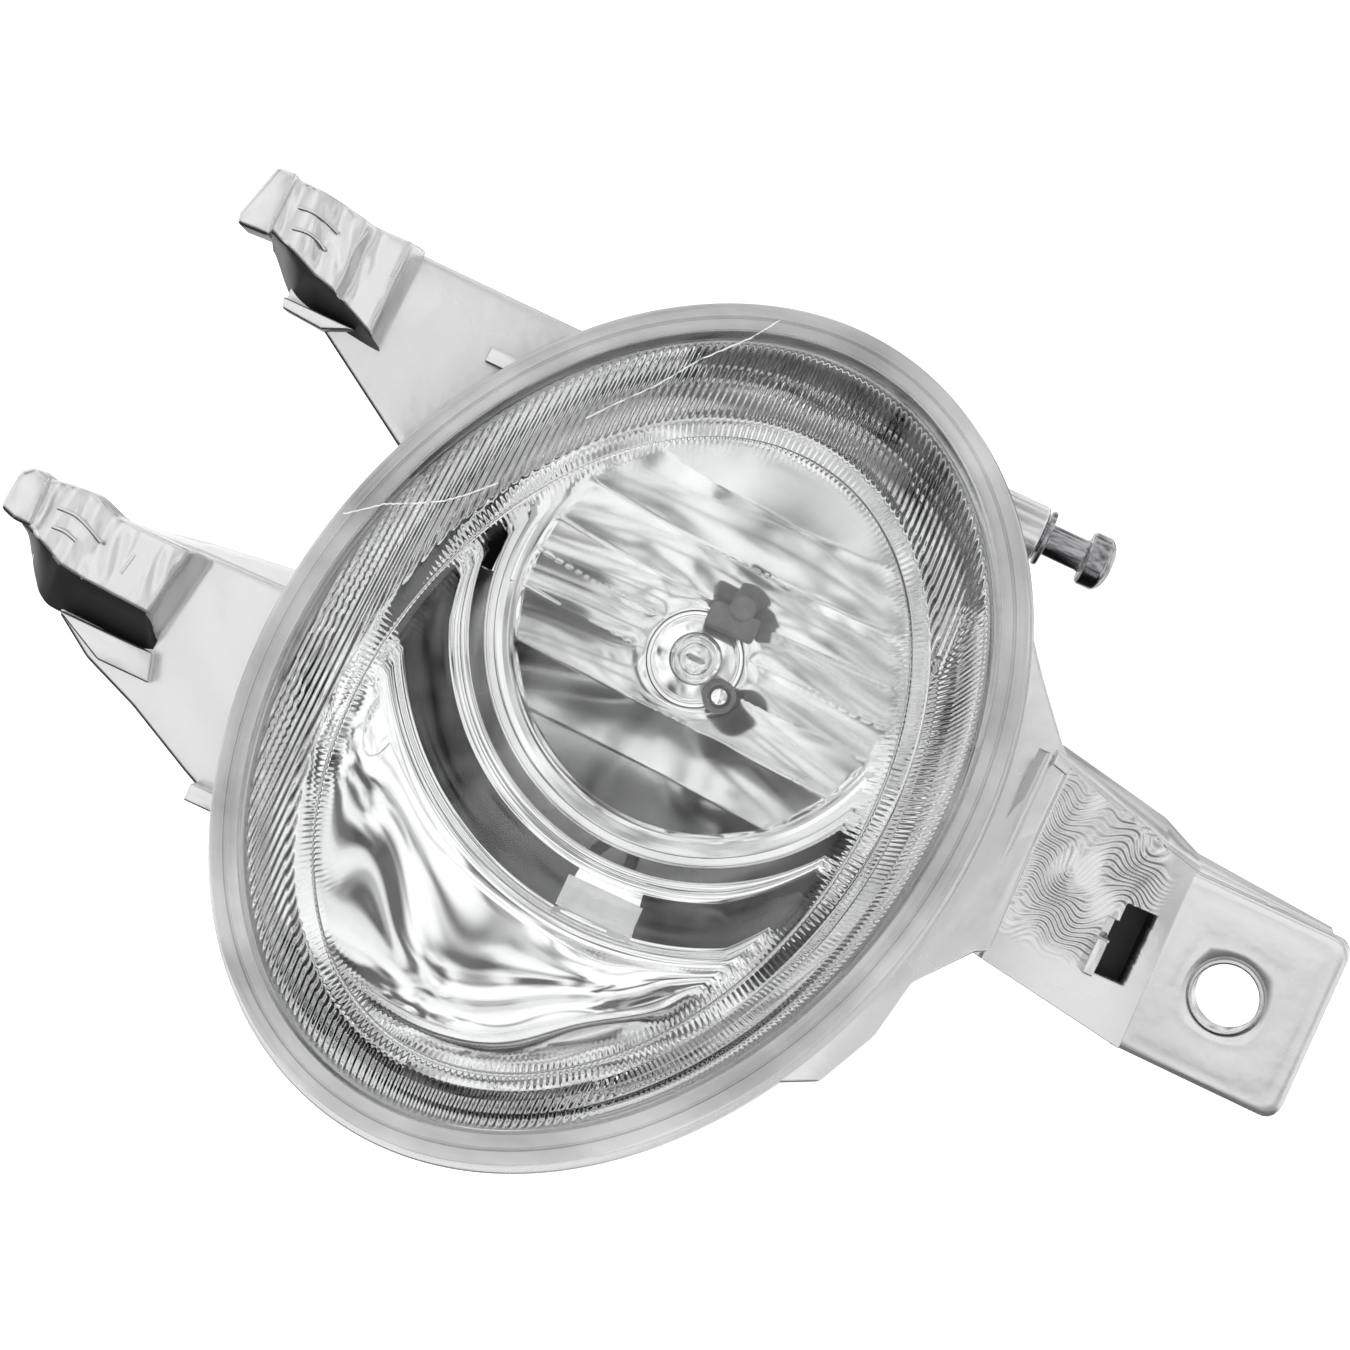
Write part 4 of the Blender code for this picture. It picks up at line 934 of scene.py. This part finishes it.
def rear_cap():
    """Twist-off cap with a ribbed skirt and a rounded grip bar, and the breather's cover."""
    mid_x, mid_z = BULB
    sides, ribs_round = 480, 60
    t = 2 * pi * (np.arange(sides) + 0.5) / sides

    def ring(r, y, ribs=0.0):
        wave = r - ribs * (0.5 + 0.5 * np.cos(ribs_round * t)) ** 3
        return np.stack([mid_x + wave * np.cos(t), np.full(sides, y), mid_z + wave * np.sin(t)], 1)

    outer = [ring(0.6, 90), ring(20, 90), ring(26, 90), ring(27, 89.6), ring(31, 89.6),
             ring(32, 90), ring(34.8, 90), ring(35.8, 89.5), ring(36.2, 88.6),
             ring(36.2, 87.6, 0.5), ring(36.2, 71, 0.5), ring(36.2, 70, 0), ring(36.2, 67.5)]
    inner = [ring(34, 67.5), ring(34, 87), ring(0.6, 87)]
    cap = Shape()
    cap.rings(outer + inner)
    bar = [(-24, -3), (24, -3), (24, 3), (-24, 3)]
    cap.bevelled([[(mid_x + x, 88, mid_z + z) for x, z in bar],
                  [(mid_x + x * 0.98, 95, mid_z + z * 0.75) for x, z in bar]], 0.9, 4)
    lugs(cap, (68.4, 70.6), 32.3, 35)
    obj = cap.make("cap_cover", "black", body="rear_cap", slot="black_plastic", sharp=35)
    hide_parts("rear_cap")
    vent = Shape()
    vent.turn([(3.3, 66.5), (5.2, 66.5), (5.2, 72.2), (4.9, 73), (4.2, 73.4), (0.4, 73.4),
               (0.4, 71), (3.3, 71)], BREATHER, sides=56)
    obj = vent.make("vent_cover", "rubber", slot="seal_rubber")
    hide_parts("vent_cap")


KEPT = {  # CAD nodes shown as they are, and their finish
    "lens_adhesive": "sealant", "pivot_pin_left": "steel", "pivot_pin_right": "steel",
    "pivot_bush_left": "natural", "pivot_bush_right": "natural", "bulb_insulator": "natural",
    "bulb_terminal": "brass", "bulb_clip": "steel", "spade_connector": "black",
    "connector_terminal_left": "brass", "connector_terminal_right": "brass",
    "feed_lead": "rubber", "earth_lead": "rubber", "earth_ring": "brass", "earth_screw": "steel",
    "rear_cap_seal": "rubber", "adjuster_seal": "rubber", "adjuster_circlip": "steel",
    "adjuster_nut": "natural", "drive_pin": "steel",
}


def kept_nodes():
    for node, key in KEPT.items():
        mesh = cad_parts[node].data
        mesh.materials.clear()
        mesh.materials.append(MAT[key])


# ---------------------------------------------------------------- camera, light, floor
def world_light():
    """White surroundings for the eye. Reflections also see a grey ring in front, a dark
    side below and soft dark patches all round, as in a light tent with dark cards."""
    world = bpy.data.worlds.new("studio")
    bpy.context.scene.world = world
    world.use_nodes = True
    tree = world.node_tree
    nodes, links = tree.nodes, tree.links
    background = nodes["Background"]
    place = nodes.new("ShaderNodeTexCoord")
    split = nodes.new("ShaderNodeSeparateXYZ")
    links.new(place.outputs["Generated"], split.inputs["Vector"])

    def remap(output, low, high):
        node = nodes.new("ShaderNodeMapRange")
        node.inputs["From Min"].default_value = low
        node.inputs["From Max"].default_value = high
        links.new(output, node.inputs["Value"])
        return node.outputs["Result"]

    front = ramp(tree, remap(split.outputs["Y"], 1, -1),
                 [(0.0, 1.0), (0.66, 1.0), (0.74, 0.9), (0.78, 0.75), (0.82, 0.75), (0.87, 1.0),
                  (1.0, 1.0)])
    below = ramp(tree, remap(split.outputs["Z"], -1, 1),
                 [(0.0, 0.01), (0.20, 0.02), (0.28, 1.0), (1.0, 1.0)])
    cards = nodes.new("ShaderNodeTexNoise")
    cards.noise_dimensions = "4D"
    cards.inputs["W"].default_value = 3.0
    cards.inputs["Scale"].default_value = 3.6
    cards.inputs["Detail"].default_value = 1.5
    cards.inputs["Distortion"].default_value = 1.1
    links.new(place.outputs["Generated"], cards.inputs["Vector"])
    patches = ramp(tree, cards.outputs["Fac"],
                   [(0.0, 0.02), (0.35, 0.04), (0.41, 0.4), (0.46, 0.8), (0.54, 1.0), (1.0, 1.0)])

    def times(one, two):
        node = nodes.new("ShaderNodeMix")
        node.data_type, node.blend_type = "RGBA", "MULTIPLY"
        node.inputs["Factor"].default_value = 1.0
        links.new(one, node.inputs["A"])
        links.new(two, node.inputs["B"])
        return node.outputs["Result"]

    around = times(times(front, below), patches)
    path = nodes.new("ShaderNodeLightPath")
    seen = nodes.new("ShaderNodeMix")
    seen.data_type = "RGBA"
    seen.inputs["B"].default_value = (1, 1, 1, 1)
    links.new(path.outputs["Is Camera Ray"], seen.inputs["Factor"])
    links.new(around, seen.inputs["A"])
    links.new(seen.outputs["Result"], background.inputs["Color"])
    background.inputs["Strength"].default_value = 1.32


def area_light(name, place, size, energy):
    """A square light at a place, aimed at the lamp's middle."""
    light = bpy.data.lights.new(name, "AREA")
    light.size, light.energy = size, energy
    obj = bpy.data.objects.new(name, light)
    obj.location = ORIGIN + Vector(place) * MM
    obj.rotation_mode = "QUATERNION"
    obj.rotation_quaternion = (Vector((-8, 20, -18)) - Vector(place)).to_track_quat("-Z", "Y")
    bpy.context.scene.collection.objects.link(obj)


def floor():
    """A pale floor under the part, which mirrors and glass don't see."""
    low = CAD_BOX[0]
    mesh = bpy.data.meshes.new("floor")
    half = 6.0
    mesh.from_pydata([(-half, -half, 0), (half, -half, 0), (half, half, 0), (-half, half, 0)], [],
                     [(0, 1, 2, 3)])
    obj = bpy.data.objects.new("floor", mesh)
    obj.location = (0, 0, low.z - 0.2)
    material, _, _ = shader_of("pale_floor", (0.97, 0.97, 0.97), Roughness=0.9,
                               Emission_Color=(1, 1, 1, 1), Emission_Strength=0.6)
    mesh.materials.append(material)
    bpy.context.scene.collection.objects.link(obj)
    obj.visible_glossy = False
    obj.visible_transmission = False


def camera():
    """A long lens straight in front of the lamp, rolled about its own axis."""
    data = bpy.data.cameras.new("camera")
    data.lens, data.sensor_width = 100.0, 36.0
    data.clip_start, data.clip_end = 0.01, 50
    obj = bpy.data.objects.new("camera", data)
    bpy.context.scene.collection.objects.link(obj)
    roll = radians(25)
    right, up = Vector((cos(roll), 0, sin(roll))), Vector((-sin(roll), 0, cos(roll)))
    turn = Matrix((right, up, right.cross(up))).transposed()
    spot = ORIGIN + Vector((-3.4, -600, -7.8)) * MM
    obj.matrix_world = Matrix.Translation(spot) @ turn.to_4x4()
    bpy.context.scene.camera = obj


lens()
bezel()
reflector()
bulb()
shell()
arms()
tab()
fittings()
adjuster()
rear_cap()
kept_nodes()
world_light()
area_light("key_light", (-300, -420, 480), 420, 7)
area_light("fill_light", (420, -520, 120), 380, 3)
floor()
camera()
bpy.context.scene.view_settings.view_transform = "Standard"
